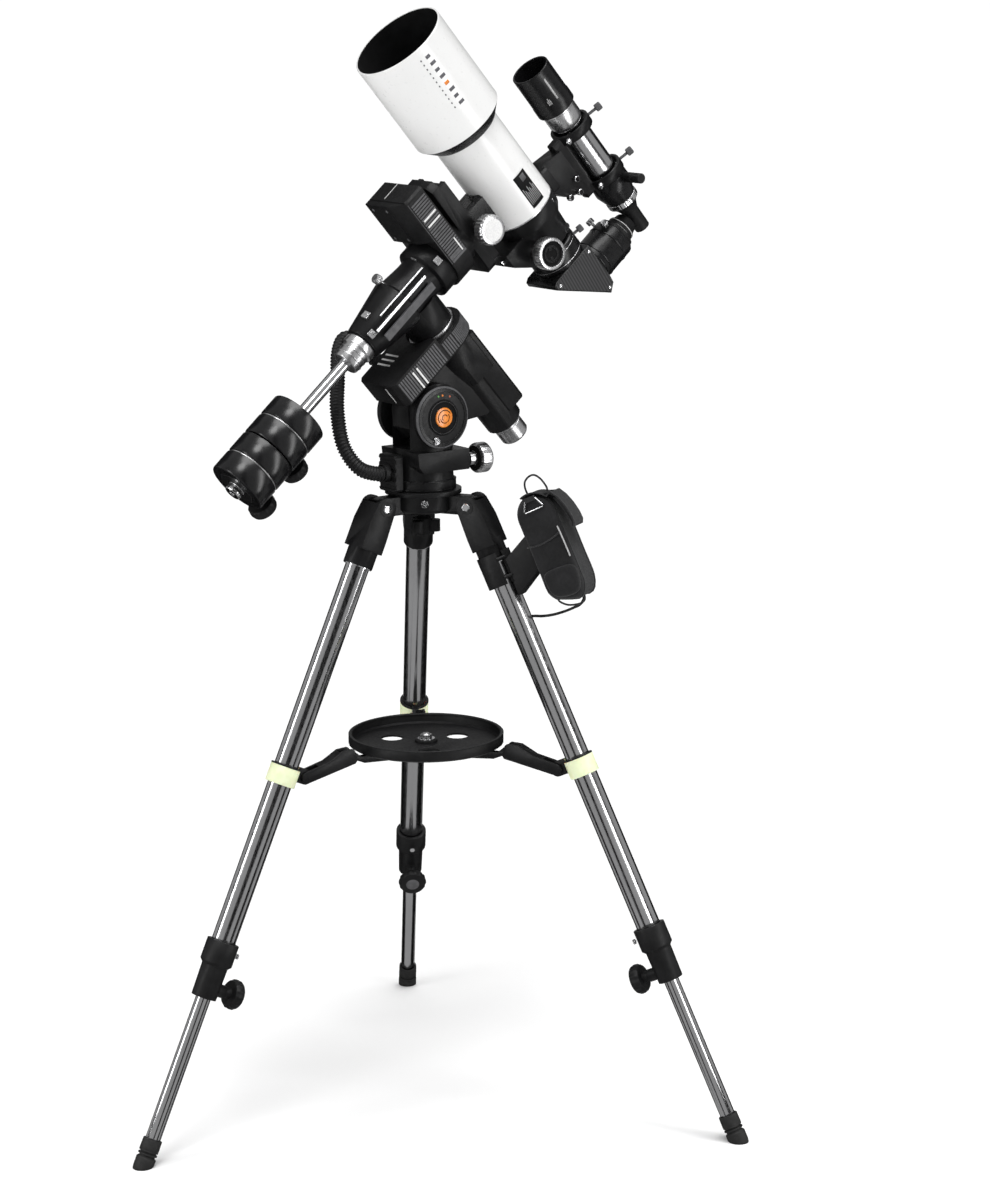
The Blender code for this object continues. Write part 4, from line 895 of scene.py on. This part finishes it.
def make_drives():
    """The polar and declination housings with their covers, marks and screws."""
    refined("ra_housing", "polar", "black_casting", 0.0016)
    refined("ra_drive_cover", "polar", "black_plastic", 0.0012)
    refined("dec_housing", "ra", "black_casting", 0.001)
    refined("dec_drive_cover", "ra", "black_plastic", 0.0012)
    refined("setting_ring", "ra", "brushed_aluminium", 0.0004)
    panel = Piece("ra_cover_panel", TILT)
    for side in (-1, 1):
        near = side * 0.0399
        face = side * 0.0404
        panel.block("black_plastic", (-0.0185, near, 0.0455), (0.0615, face, 0.0785))
        ribs(panel, -0.0175, 0.0605, "X", 0.004, (near, 0.0465), (side * 0.0411, 0.0775))
    wrap = [(0.062, -0.0405)] + arc(RA_X, 0, 0.0405, -90, 90, 40) + [(0.062, 0.0405)]
    wrap += [(0.062, 0.0398)] + arc(RA_X, 0, 0.0398, 90, -90, 40) + [(0.062, -0.0398)]
    panel.prism("black_plastic", wrap, 0.0455, 0.0692, "Z")
    for i in range(46):
        angle = math.radians(-88 + 176 * i / 45)
        place = Matrix.Translation((RA_X, 0, 0)) @ Matrix.Rotation(angle, 4, "Z")
        panel.block("grey_panel", (0.04, -0.001, 0.0465), (0.0411, 0.001, 0.0684), place)
    for i in range(5):
        for side in (-1, 1):
            x = 0.0635 + 0.004 * i
            panel.block("grey_panel", (x, side * 0.0399, 0.0465), (x + 0.0024, side * 0.0411, 0.0684))
    panel.done("polar", bevel=0.0002)
    marks = Piece("ra_cover_marks", TILT)
    for x in (0.007, 0.015):
        marks.block("white_mark", (x, -0.0416, 0.0462), (x + 0.0024, -0.0408, 0.0735))
    for x in (0.0058, 0.0142, 0.0226):
        marks.block("white_mark", (x, 0.003, 0.0798), (x + 0.0026, 0.031, 0.0804))
    marks.block("white_mark", (-0.0256, -0.017, 0.049), (-0.0249, -0.016, 0.074))
    marks.done("polar", bevel=0.0001)

    panel = Piece("dec_cover_panel", TILT)
    for side in (-1, 1):
        near = side * 0.0419
        panel.block("black_plastic", (0.1442, near, 0.131), (0.1722, side * 0.0424, 0.2365))
        ribs(panel, 0.133, 0.235, "Z", 0.004, (near, 0.1452), (side * 0.0431, 0.1712))
        panel.block("grey_panel", (0.1427, near, 0.133), (0.1434, side * 0.0424, 0.2365))
    for i in range(30):
        angle = math.radians(180 + 180 * (i + 0.5) / 30)
        place = Matrix.Translation((0, 0, DEC_Z)) @ Matrix.Rotation(-angle, 4, "X")
        panel.block("grey_panel", (0.1452, 0.0418, -0.0012), (0.1712, 0.0431, 0.0012), place)
    panel.done("ra", bevel=0.0002)
    marks = Piece("dec_cover_marks", TILT)
    for z in (0.193, 0.203):
        marks.block("white_mark", (0.147, -0.0436, z), (0.17, -0.0428, z + 0.0024))
    marks.block("white_mark", (0.1655, -0.0436, 0.137), (0.1672, -0.0428, 0.158))
    marks.block("white_mark", (0.146, 0.008, 0.2405), (0.1725, 0.0096, 0.2413))
    marks.done("ra", bevel=0.0001)

    def pointing(angle):
        """The turn about the declination axis that puts +Z at an angle up from the near side."""
        return Matrix.Rotation(math.radians(90 - angle), 4, "X")

    trim = Piece("dec_housing_trim", TILT)
    for x, angle, radius in ((0.1226, 71.5, 0.0302), (0.1323, 24.6, 0.0385), (0.0197, 70, 0.03),
            (0.0045, 26.6, 0.0262)):
        place = Matrix.Translation((x, 0, DEC_Z)) @ pointing(angle)
        place = place @ Matrix.Translation((0, 0, radius - 0.002))
        trim.prism("brushed_aluminium", band(-0.0048, 0.0048, -0.0048, 0.0048), 0.0, 0.0042, "Z", place)
        trim.turned("chrome", band(0, 0.0026, 0.004, 0.0047), place=place, segments=24)
    for low, high, angle, radius, thick in ((0.027, 0.113, 38.5, 0.0362, 0.0013),
            (0.008, 0.106, 22.3, 0.0368, 0.0025)):
        place = Matrix.Translation((0, 0, DEC_Z)) @ pointing(angle) @ Matrix.Translation((0, 0, radius))
        look = "chrome" if thick > 0.002 else "brushed_aluminium"
        trim.turned(look, band(0, thick, low, high), "X", segments=32, place=place)
    place = Matrix.Translation((0, 0, DEC_Z)) @ pointing(-2)
    trim.block("grey_panel", (0.012, -0.0052, 0.0345), (0.107, 0.0052, 0.0378), place)
    trim.done("ra", bevel=0.0003)
    plate = Piece("dec_motor_panel", TILT)
    outline = [(-0.006, 0.18), (-0.002, 0.1765), (0.033, 0.1765), (0.0365, 0.18), (0.0365, 0.232),
        (0.033, 0.2355), (-0.002, 0.2355), (-0.006, 0.232)]
    plate.prism("black_plastic", outline, 0.1337, 0.1345, "X")
    for y, z in ((0.0, 0.181), (0.0305, 0.181), (0.0, 0.231), (0.0305, 0.231)):
        plate.turned("grey_panel", band(0, 0.0022, 0.1332, 0.134), "X", (0, y, z), 24)
    plate.done("ra", bevel=0.0003)
    screw = Piece("dec_lock_screw", TILT)
    place = turn_at((0.079, 0, DEC_Z), -16, "Y")
    screw.turned("brushed_aluminium", [(0, 0.03), (0.0022, 0.03), (0.0022, 0.042), (0.0062, 0.0425),
        (0.0066, 0.044), (0.0066, 0.05), (0.0055, 0.0515), (0, 0.0515)], place=place, segments=72,
        flutes=(18, 0.0006))
    screw.done("ra", bevel=0.0002)

    cap = Piece("polar_cap_turned", TILT)
    cap.turned("brushed_aluminium", [(0, -0.13), (0.015, -0.13), (0.0176, -0.1292), (0.0195, -0.1265),
        (0.0195, -0.108), (0.0188, -0.1074), (0.0188, -0.106), (0.0195, -0.1054), (0.0195, -0.1033),
        (0, -0.1033)], at=(RA_X, 0, 0), segments=96)
    cap.done("polar_cap", ["polar_cap"], 0.0004)
    ring = Piece("setting_scale", TILT)
    for i in range(72):
        place = Matrix.Translation((RA_X, 0, 0)) @ Matrix.Rotation(2 * math.pi * i / 72, 4, "Z")
        low = 0.0712 if i % 6 else 0.0708
        ring.block("matt_black", (0.03335, -0.00022, low), (0.03362, 0.00022, 0.0745), place)
    ring.done("ra", bevel=0)


def make_weights():
    """The counterweight shaft with its ring and nut, and the two weights."""
    shaft = Piece("shaft_chrome", TILT)
    at = (0, 0, DEC_Z)
    shaft.turned("chrome", [(0, -0.2635), (0.004, -0.2635), (0.004, -0.2575), (0.008, -0.2575),
        (0.008, -0.0154), (0, -0.0154)], "X", at, 64)
    shaft.done("dec", ["counterweight_shaft"], 0.0004)
    lock = Piece("lock_ring_chrome", TILT)
    lock.turned("brushed_aluminium", [(0.0083, -0.0405), (0.014, -0.0405), (0.0172, -0.0396),
        (0.0181, -0.038), (0.019, -0.0185), (0.0215, -0.0165), (0.0215, -0.008), (0.02, -0.0048),
        (0.0083, -0.0048)], "X", at, 120)
    for x in (-0.033, -0.025):
        lock.turned("polished_steel", bead(0.015, 0.019, 0.0194, x, 0.002), "X", at, 96)
    lock.done("dec", ["shaft_lock_ring"], 0.0005)
    nut = Piece("end_nut_chrome", TILT)
    nut.turned("chrome", [(0.0043, -0.2655), (0.0105, -0.2655), (0.0115, -0.264), (0.0115, -0.26),
        (0.0105, -0.258), (0.0043, -0.258)], "X", at, 72, (12, 0.0005))
    nut.done("dec", ["shaft_end_nut"], 0.0003)
    for number, (outer, inner) in enumerate(WEIGHT_ENDS, 1):
        r = WEIGHT_R
        c = 0.0016
        middle = (outer + inner) / 2
        weight = Piece(f"weight_body_{number}", TILT)
        for low, high in ((outer, middle - 0.0005), (middle + 0.0005, inner)):
            weight.turned("iron_weight", [(0.0083, low), (0.03, low), (r - 2 * c, low + 0.0002),
                (r - 0.5 * c, low + 0.5 * c), (r, low + 1.5 * c), (r, high - 1.5 * c),
                (r - 0.5 * c, high - 0.5 * c), (r - 2 * c, high - 0.0002), (0.0083, high)], "X", at, 120)
        for x in (middle, inner - 0.001):
            weight.turned("brushed_aluminium", [(r - 2.2 * c, x - 0.0012), (r - 1.0 * c, x - 0.0012),
                (r - 0.7 * c, x), (r - 1.0 * c, x + 0.0007), (r - 2.2 * c, x + 0.0007)], "X", at, 120)
        weight.turned("brushed_aluminium", [(0.0083, outer - 0.0006), (0.0115, outer - 0.0006),
            (0.012, outer + 0.0002), (0.0083, outer + 0.0002)], "X", at, 48)
        weight.done(f"weight_{number}", [f"counterweight_{number}"], 0.0003)
        plate = Piece(f"weight_face_{number}", TILT)
        plate.turned("black_casting", [(0.015, outer - 0.0004), (0.0262, outer - 0.0004),
            (0.0268, outer + 0.0002), (0.0146, outer + 0.0002)], "X", at, 8)
        plate.done(f"weight_{number}", bevel=0.0002)
        spin = Matrix.Translation((outer + 0.014, 0, DEC_Z)) @ Matrix.Rotation(WEIGHT_KNOB_TURN, 4, "X")
        knob = Piece(f"weight_grip_{number}", TILT @ spin)
        knob.turned("black_plastic", [(0, 0.026), (0.0052, 0.026), (0.0052, r + 0.005), (0.0165, r + 0.006),
            (0.0183, r + 0.008), (0.0185, r + 0.011), (0.0185, r + 0.015), (0.0172, r + 0.0188),
            (0.013, r + 0.0206), (0.006, r + 0.021), (0, r + 0.021)], segments=84, flutes=(14, 0.001))
        knob.done(f"weight_knob_{number}", [f"weight_knob_{number}"], 0.0005)


# --------------------------------------------------------------- telescope
def make_tube():
    """The saddle, the white tube with its dew shield, the lens and the marks."""
    at = (OTA_X, 0, 0)
    refined("saddle", "dec", "black_casting", 0.001)
    refined("dovetail_foot", "dec", "black_anodised", 0.0008)
    knob = Piece("saddle_grip", TILT)
    spot = (0.207, 0, DEC_Z)
    knob.turned("brushed_aluminium", [(0, -0.064), (0.016, -0.064), (0.0182, -0.0634), (0.0198, -0.0612),
        (0.02, -0.059), (0.02, -0.049), (0.0165, -0.045), (0.008, -0.044), (0.007, -0.0383), (0, -0.0383)],
        "Y", spot, 120, (24, 0.0008))
    knob.turned("white_mark", [(0, -0.0644), (0.0145, -0.0644), (0.0148, -0.0638), (0, -0.0638)], "Y", spot)
    knob.done("saddle_knob", ["saddle_knob"], 0.0005)
    shield = Piece("dew_shield_shell", TILT)
    inside = SHIELD_R - 0.003
    shield.turned("white_enamel", [(SHIELD_R - 0.0012, 0.2425), (SHIELD_R, 0.2432), (SHIELD_R, 0.378),
        (SHIELD_R - 0.001, 0.379), (inside + 0.0008, 0.379), (inside + 0.0008, 0.2425)], at=at,
        segments=160)
    shield.turned("matt_black", band(inside, inside + 0.0009, 0.255, 0.3784), at=at, segments=160)
    shield.turned("matt_black", [(0.044, 0.249), (0.0605, 0.249), (0.0605, 0.2552), (0.053, 0.2552),
        (0.053, 0.2535), (0.044, 0.251)], at=at, segments=120)
    shield.turned("black_anodised", [(0.044, 0.2258), (0.0478, 0.2258), (0.0484, 0.2266), (0.06, 0.2402),
        (0.0612, 0.2424), (0.06, 0.2426), (0.044, 0.2426)], at=at, segments=160)
    shield.done("dec", ["dew_shield"], 0.0004)
    lens = Piece("objective_glass", TILT)
    lens.turned("coated_glass", [(0, 0.2493), (0.05, 0.2493), (0.05, 0.253), (0.044, 0.254),
        (0.036, 0.2551), (0.026, 0.256), (0.015, 0.2567), (0, 0.2571)], at=at, segments=120)
    lens.done("dec", ["objective_lens"], 0.0002)
    tube = Piece("main_tube_shell", TILT)
    tube.turned("white_enamel", [(0.0444, 0.09), (TUBE_R - 0.0003, 0.09), (TUBE_R, 0.0904),
        (TUBE_R, 0.2252), (TUBE_R - 0.0003, 0.2255), (0.0444, 0.2255)], at=at, segments=160)
    tube.done("dec", ["main_tube"], 0.0003)
    trim = Piece("tube_rear_trim", TILT)
    trim.turned("brushed_aluminium", band(0.044, 0.0466, 0.0897, 0.0912), at=at, segments=160)
    trim.done("dec", bevel=0.0001)

    def wrapped(piece, look, radius, low, high, start, end, thick=0.0004, steps=12):
        """A thin plate on the tube's side, between two heights and two angles up from the near side."""
        outline = arc(0, 0, radius + thick, start, end, steps)
        outline += arc(0, 0, radius - 0.0004, end, start, steps)
        place = turn_at(at, -90, "Z")
        piece.prism(look, outline, low, high, "Z", place)

    label = Piece("tube_label", TILT)
    wrapped(label, "matt_black", TUBE_R, 0.0985, 0.1495, -9.5, 17.6)
    for i in range(8):
        turn = -7.0 + 3.0 * i
        wrapped(label, "pale_print_and_painted_highlight", TUBE_R + 0.0002, 0.1035, 0.129 - 0.004 * (i % 3), turn, turn + 0.8)
    wrapped(label, "grey_panel", TUBE_R + 0.0002, 0.137, 0.1465, 2, 12)
    label.done("dec", bevel=0)
    mark = Piece("shield_marking", TILT)
    for i in range(8):
        low = 0.285 + 0.0108 * i
        look = "orange_enamel" if i == 3 else "grey_ink"
        wrapped(mark, look, SHIELD_R, low, low + 0.0044, -11, -5 if i % 2 else -3.6, 0.0002, 4)
    for i in range(12):
        low = 0.286 + 0.007 * i
        wrapped(mark, "grey_ink", SHIELD_R, low, low + 0.0022, -18.5, -17.0, 0.0002, 3)
    mark.done("dec", bevel=0)


def make_focuser():
    """The focuser with its drawtube, wheels and screws."""
    at = (OTA_X, 0, 0)
    refined("focuser_body", "dec", "black_casting", 0.001)
    tube = Piece("drawtube_shell", TILT)
    tube.turned("black_anodised", [(0.0258, -0.006), (0.034, -0.006), (0.035, -0.0055), (0.0355, -0.003),
        (0.0355, 0.02), (0.035, 0.0212), (0.033, 0.023), (0.028, 0.024), (0.028, 0.086), (0.0258, 0.086)],
        at=at, segments=96)
    for low in (0.0, 0.016):
        tube.turned("brushed_aluminium", band(0.03, 0.0358, low, low + 0.0008), at=at, segments=96)
    tube.done("draw", ["drawtube"], 0.0003)
    wheels = Piece("focus_wheels", TILT)
    spot = (0.254, 0, 0.044)
    half = [(0.005, 0.0385), (0.008, 0.0385), (0.008, 0.045), (0.0195, 0.0455), (0.021, 0.0468),
        (0.0215, 0.0485), (0.0215, 0.062), (0.0208, 0.0636), (0.019, 0.064), (0.0168, 0.064), (0.016, 0.06),
        (0, 0.06)]
    wheels.turned("brushed_aluminium", [(r, -h) for r, h in reversed(half)] + half, "Y", spot, 144,
        (36, 0.0005))
    for side in (-1, 1):
        wheels.turned("matt_black", band(0, 0.0158, side * 0.0598, side * 0.0606), "Y", spot)
        wheels.turned("black_anodised", band(0.0085, 0.0115, side * 0.0604, side * 0.0616), "Y", spot)
        for turn in (60, 240):
            x = spot[0] + 0.0062 * math.cos(math.radians(turn))
            z = spot[2] + 0.0062 * math.sin(math.radians(turn))
            wheels.turned("black_anodised", band(0, 0.0026, side * 0.0604, side * 0.0612), "Y", (x, 0, z),
                24)
    wheels.done("pinion", ["focus_knobs"], 0.0003)
    lock = Piece("focuser_screws", TILT)
    for y in (-0.013, 0.013):
        lock.turned("chrome", band(0, 0.0038, 0.2105, 0.216), "X", (0, y, 0.062), 24)
    for azimuth in (-58, 62):
        place = turn_at(at, azimuth, "Z")
        lock.turned("chrome", band(0, 0.003, 0.044, 0.0475), "X", (0, 0, 0.0815), 24, place=place)
    lock.done("dec", bevel=0.0002)
    thumb = Piece("drawtube_screws", TILT)
    for azimuth in (-20, 20):
        place = turn_at(at, azimuth, "Z")
        thumb.turned("grey_panel", [(0, 0.0345), (0.002, 0.0345), (0.002, 0.042), (0.0048, 0.0424),
            (0.005, 0.044), (0.005, 0.049), (0.0042, 0.05), (0, 0.05)], "X", (0, 0, 0.01), 60, (12, 0.0005),
            place)
    thumb.done("draw", bevel=0.0002)


def make_diagonal():
    """The star diagonal with its plates, the holder and the eyepiece."""
    refined("star_diagonal", "diagonal", "black_anodised", 0.0009)
    sides = Piece("diagonal_side_plates", TILT)
    outline = [(0.25, -0.0085), (0.2446, -0.0112), (0.2446, -0.0156), (0.305, -0.0798), (0.315, -0.0726),
        (0.3172, -0.0602), (0.3172, -0.0085)]
    for side in (-1, 1):
        sides.prism("carbon_weave", outline, side * 0.0316, side * 0.0327)
    sides.done("diagonal", bevel=0.0003)
    screws = Piece("diagonal_screws", TILT)
    for side in (-1, 1):
        for x, z in ((0.2507, -0.0149), (0.307, -0.074), (0.3131, -0.0135)):
            screws.turned("chrome", [(0, side * 0.032), (0.0023, side * 0.032), (0.0023, side * 0.0334),
                (0.0012, side * 0.0338), (0, side * 0.0332)], "Y", (x, 0, z), 24)
    for turn in (-115, -65):
        place = turn_at((0, 0, EYE_Z), turn + 90, "X")
        screws.turned("chrome", [(0, 0.028), (0.002, 0.028), (0.002, 0.033), (0.0052, 0.0335),
            (0.0054, 0.035), (0.0054, 0.0395), (0.0045, 0.0405), (0, 0.0405)], at=(0.364, 0, 0),
            segments=60, flutes=(12, 0.0005), place=place)
    screws.done("diagonal", bevel=0.0002)
    holder = Piece("holder_rings", TILT)
    for x in (0.3215, 0.329, 0.356):
        holder.turned("black_anodised", bead(0.027, 0.0294, 0.0297, x, 0.0024), "X", (0, 0, EYE_Z), 96)
    holder.done("diagonal", bevel=0.0002)
    eye = Piece("eyepiece_shell", TILT)
    eye.turned("black_plastic", [(0, 0.3738), (0.024, 0.3738), (0.024, 0.379), (0.0195, 0.381),
        (0.019, 0.389), (0.0165, 0.392), (0.015, 0.399), (0.0135, 0.401), (0.012, 0.401), (0.01, 0.398),
        (0, 0.3975)], "X", (0, 0, EYE_Z), 96)
    for x, radius in ((0.3802, 0.02), (0.3868, 0.0194)):
        eye.turned("white_mark", band(0.017, radius, x, x + 0.0009), "X", (0, 0, EYE_Z), 96)
    eye.turned("coated_glass", [(0, 0.3968), (0.0098, 0.397), (0.0098, 0.3982), (0.005, 0.3988),
        (0, 0.399)], "X", (0, 0, EYE_Z), 64)
    eye.done("diagonal", ["eyepiece"], 0.0003)


def make_finder():
    """The finder scope with its bracket, lamp and screws."""
    at = (FINDER_X, 0, 0)
    refined("finder_bracket", "dec", "black_casting", 0.0009)
    scope = Piece("finder_shell", TILT)
    scope.turned("black_anodised", [(0, 0.156), (0.0215, 0.156), (0.0238, 0.18), (0.0238, 0.2115),
        (0.0258, 0.212), (0.0265, 0.2112), (0.0265, 0.164), (0.0272, 0.162), (0.0272, 0.148),
        (0.0235, 0.146), (0.02, 0.146), (0, 0.146)], at=at, segments=120)
    scope.turned("brushed_aluminium", [(0, 0.146), (0.0238, 0.146), (0.0238, 0.144), (0.0232, 0.1432),
        (0.0232, 0.1262), (0.0205, 0.119), (0, 0.118)], at=at, segments=120)
    scope.turned("polished_steel", band(0, 0.0205, 0.119, 0.0225), at=at, segments=120)
    scope.turned("black_anodised", [(0, 0.023), (0.0205, 0.023), (0.0255, 0.0222), (0.0263, 0.021),
        (0.027, 0.004), (0.0215, -0.012), (0.0215, -0.0145), (0, -0.0145)], at=at, segments=120)
    scope.turned("chrome", [(0, -0.014), (0.0218, -0.014), (0.0225, -0.015), (0.0225, -0.0215),
        (0.0218, -0.0222), (0, -0.0222)], at=at, segments=144, flutes=(36, 0.0005))
    scope.turned("black_plastic", [(0, -0.022), (0.02, -0.0226), (0.015, -0.03), (0.011, -0.04),
        (0.0105, -0.0715), (0.008, -0.0715), (0.007, -0.066), (0, -0.066)], at=at, segments=96)
    scope.turned("coated_glass", [(0, 0.1562), (0.0214, 0.1562), (0.015, 0.1588), (0, 0.1596)], at=at,
        segments=96)
    lamp = (FINDER_X + 0.009, 0, 0.0144)
    scope.turned("black_plastic", [(0, -0.061), (0.006, -0.061), (0.0068, -0.06), (0.0068, -0.047),
        (0.0058, -0.0462), (0.0058, -0.044), (0.0068, -0.0432), (0.0068, -0.015), (0, -0.015)], "Y", lamp,
        60)
    scope.done("dec", ["finder_scope"], 0.0003)
    grips = Piece("finder_screws", TILT)
    for z in (0.1095, 0.0298):
        turn = turn_at(at, -22, "Z")
        grips.turned("grey_panel", [(0, 0.024), (0.002, 0.024), (0.002, 0.04), (0.0052, 0.0405),
            (0.0055, 0.042), (0.0055, 0.0475), (0.0046, 0.0488), (0, 0.0488)], "X", (0, 0, z), 60,
            (12, 0.0005), turn)
        for angle in (98, -142):
            turn = turn_at(at, angle, "Z")
            grips.turned("chrome", [(0, 0.024), (0.004, 0.024), (0.004, 0.033), (0.003, 0.035),
                (0, 0.0355)], "X", (0, 0, z), 32, place=turn)
    for x, z in ((0.369, 0.063), (0.362, 0.046), (0.346, 0.051)):
        grips.turned("chrome", [(0, -0.0125), (0.0042, -0.0125), (0.0045, -0.0135), (0.0045, -0.0185),
            (0.0036, -0.0195), (0, -0.0195)], "Y", (x, 0, z), 48, (10, 0.0004))
    grips.done("dec", bevel=0.0002)
    strips = Piece("finder_hood_marking", TILT)
    for angle, low, high, half in ((260, 0.168, 0.201, 0.0012), (238, 0.166, 0.174, 0.0005),
            (234, 0.166, 0.1765, 0.0005), (230, 0.166, 0.173, 0.0005)):
        place = turn_at(at, angle, "Z")
        strips.block("pale_print_and_painted_highlight", (0.0259, -half, low), (0.02675, half, high), place)
    strips.done("dec", bevel=0)


# ------------------------------------------------------------ light and floor
CAMERA_AZIMUTH = -124.0         # of the camera as seen from the object, in degrees
STRIP_R = 1.8                   # from the object's axis to the strip lights
FLAG_R = 2.0
FLAG_REACH = 2.6                # above and below the floor
FLAG_STEPS = 8
# The dark cards round the object: the azimuth of each from the camera's, and its half width.
FLAGS = ((0, 9), (66, 15), (-66, 15), (140, 22), (-140, 22))
FLOOR_HALF = 400
WORLD_STRENGTH = 0.36


def make_stage():
    """The floor, the world, the lights and the dark cards."""
    bm = bmesh.new()
    bmesh.ops.create_grid(bm, x_segments=8, y_segments=8, size=FLOOR_HALF)
    floor = mesh_object("floor", bm, ["pale_floor"])
    floor.visible_glossy = False
    world = bpy.data.worlds.new("studio")
    bpy.context.scene.world = world
    world.use_nodes = True
    background = world.node_tree.nodes["Background"]
    background.inputs["Color"].default_value = (1.0, 1.0, 1.0, 1.0)
    background.inputs["Strength"].default_value = WORLD_STRENGTH
    add_sun("key", (0.75, 0.75, -1.7), 1.0, 22)
    add_sun("top", (-0.1, 0.2, -1.0), 1.95, 40)
    add_panel("strip_right", CAMERA_AZIMUTH + 60, 0.85, (0.42, 2.1), 15)
    add_panel("strip_left", CAMERA_AZIMUTH - 60, 1.0, (0.36, 2.0), 13)
    for number, (offset, half) in enumerate(FLAGS, 1):
        add_flag(f"flag_{number}", CAMERA_AZIMUTH + offset, half)
    scene = bpy.context.scene
    scene.view_settings.view_transform = "Standard"
    scene.view_settings.look = "None"


def add_flag(name, azimuth, half):
    """A dark card that only reflections see: it gives the bright metal its dark bands."""
    bm = bmesh.new()
    low = []
    high = []
    for i in range(FLAG_STEPS + 1):
        angle = math.radians(azimuth - half + 2 * half * i / FLAG_STEPS)
        x = FLAG_R * math.cos(angle)
        y = FLAG_R * math.sin(angle)
        low.append(bm.verts.new((x, y, -FLAG_REACH)))
        high.append(bm.verts.new((x, y, FLAG_REACH)))
    for i in range(FLAG_STEPS):
        bm.faces.new((low[i], low[i + 1], high[i + 1], high[i]))
    card = mesh_object(name, bm, ["matt_black"])
    card.visible_camera = False
    card.visible_diffuse = False
    card.visible_shadow = False


def add_sun(name, direction, strength, angle):
    """A distant light as wide as the angle."""
    data = bpy.data.lights.new(name, "SUN")
    data.energy = strength
    data.angle = math.radians(angle)
    light = bpy.data.objects.new(name, data)
    light.rotation_euler = Vector(direction).to_track_quat("-Z", "Y").to_euler()
    bpy.context.scene.collection.objects.link(light)


def add_panel(name, azimuth, height, size, power):
    """A soft strip of light, nearer than the dark cards."""
    data = bpy.data.lights.new(name, "AREA")
    data.shape = "RECTANGLE"
    data.size = size[0]
    data.size_y = size[1]
    data.energy = power
    light = bpy.data.objects.new(name, data)
    angle = math.radians(azimuth)
    light.location = (STRIP_R * math.cos(angle), STRIP_R * math.sin(angle), height)
    light.rotation_euler = (Vector((0, 0, height)) - light.location).to_track_quat("-Z", "Y").to_euler()
    light.visible_camera = False
    bpy.context.scene.collection.objects.link(light)


make_camera()
make_black_looks()
make_metal_looks()
make_paint_looks()
make_moulded_looks()
make_cloth_looks()
make_other_looks()
make_cord()
make_conduit()
make_tripod()
make_pouch()
make_mount_base()
make_drives()
make_weights()
make_tube()
make_focuser()
make_diagonal()
make_finder()
make_stage()

bpy.context.view_layer.update()
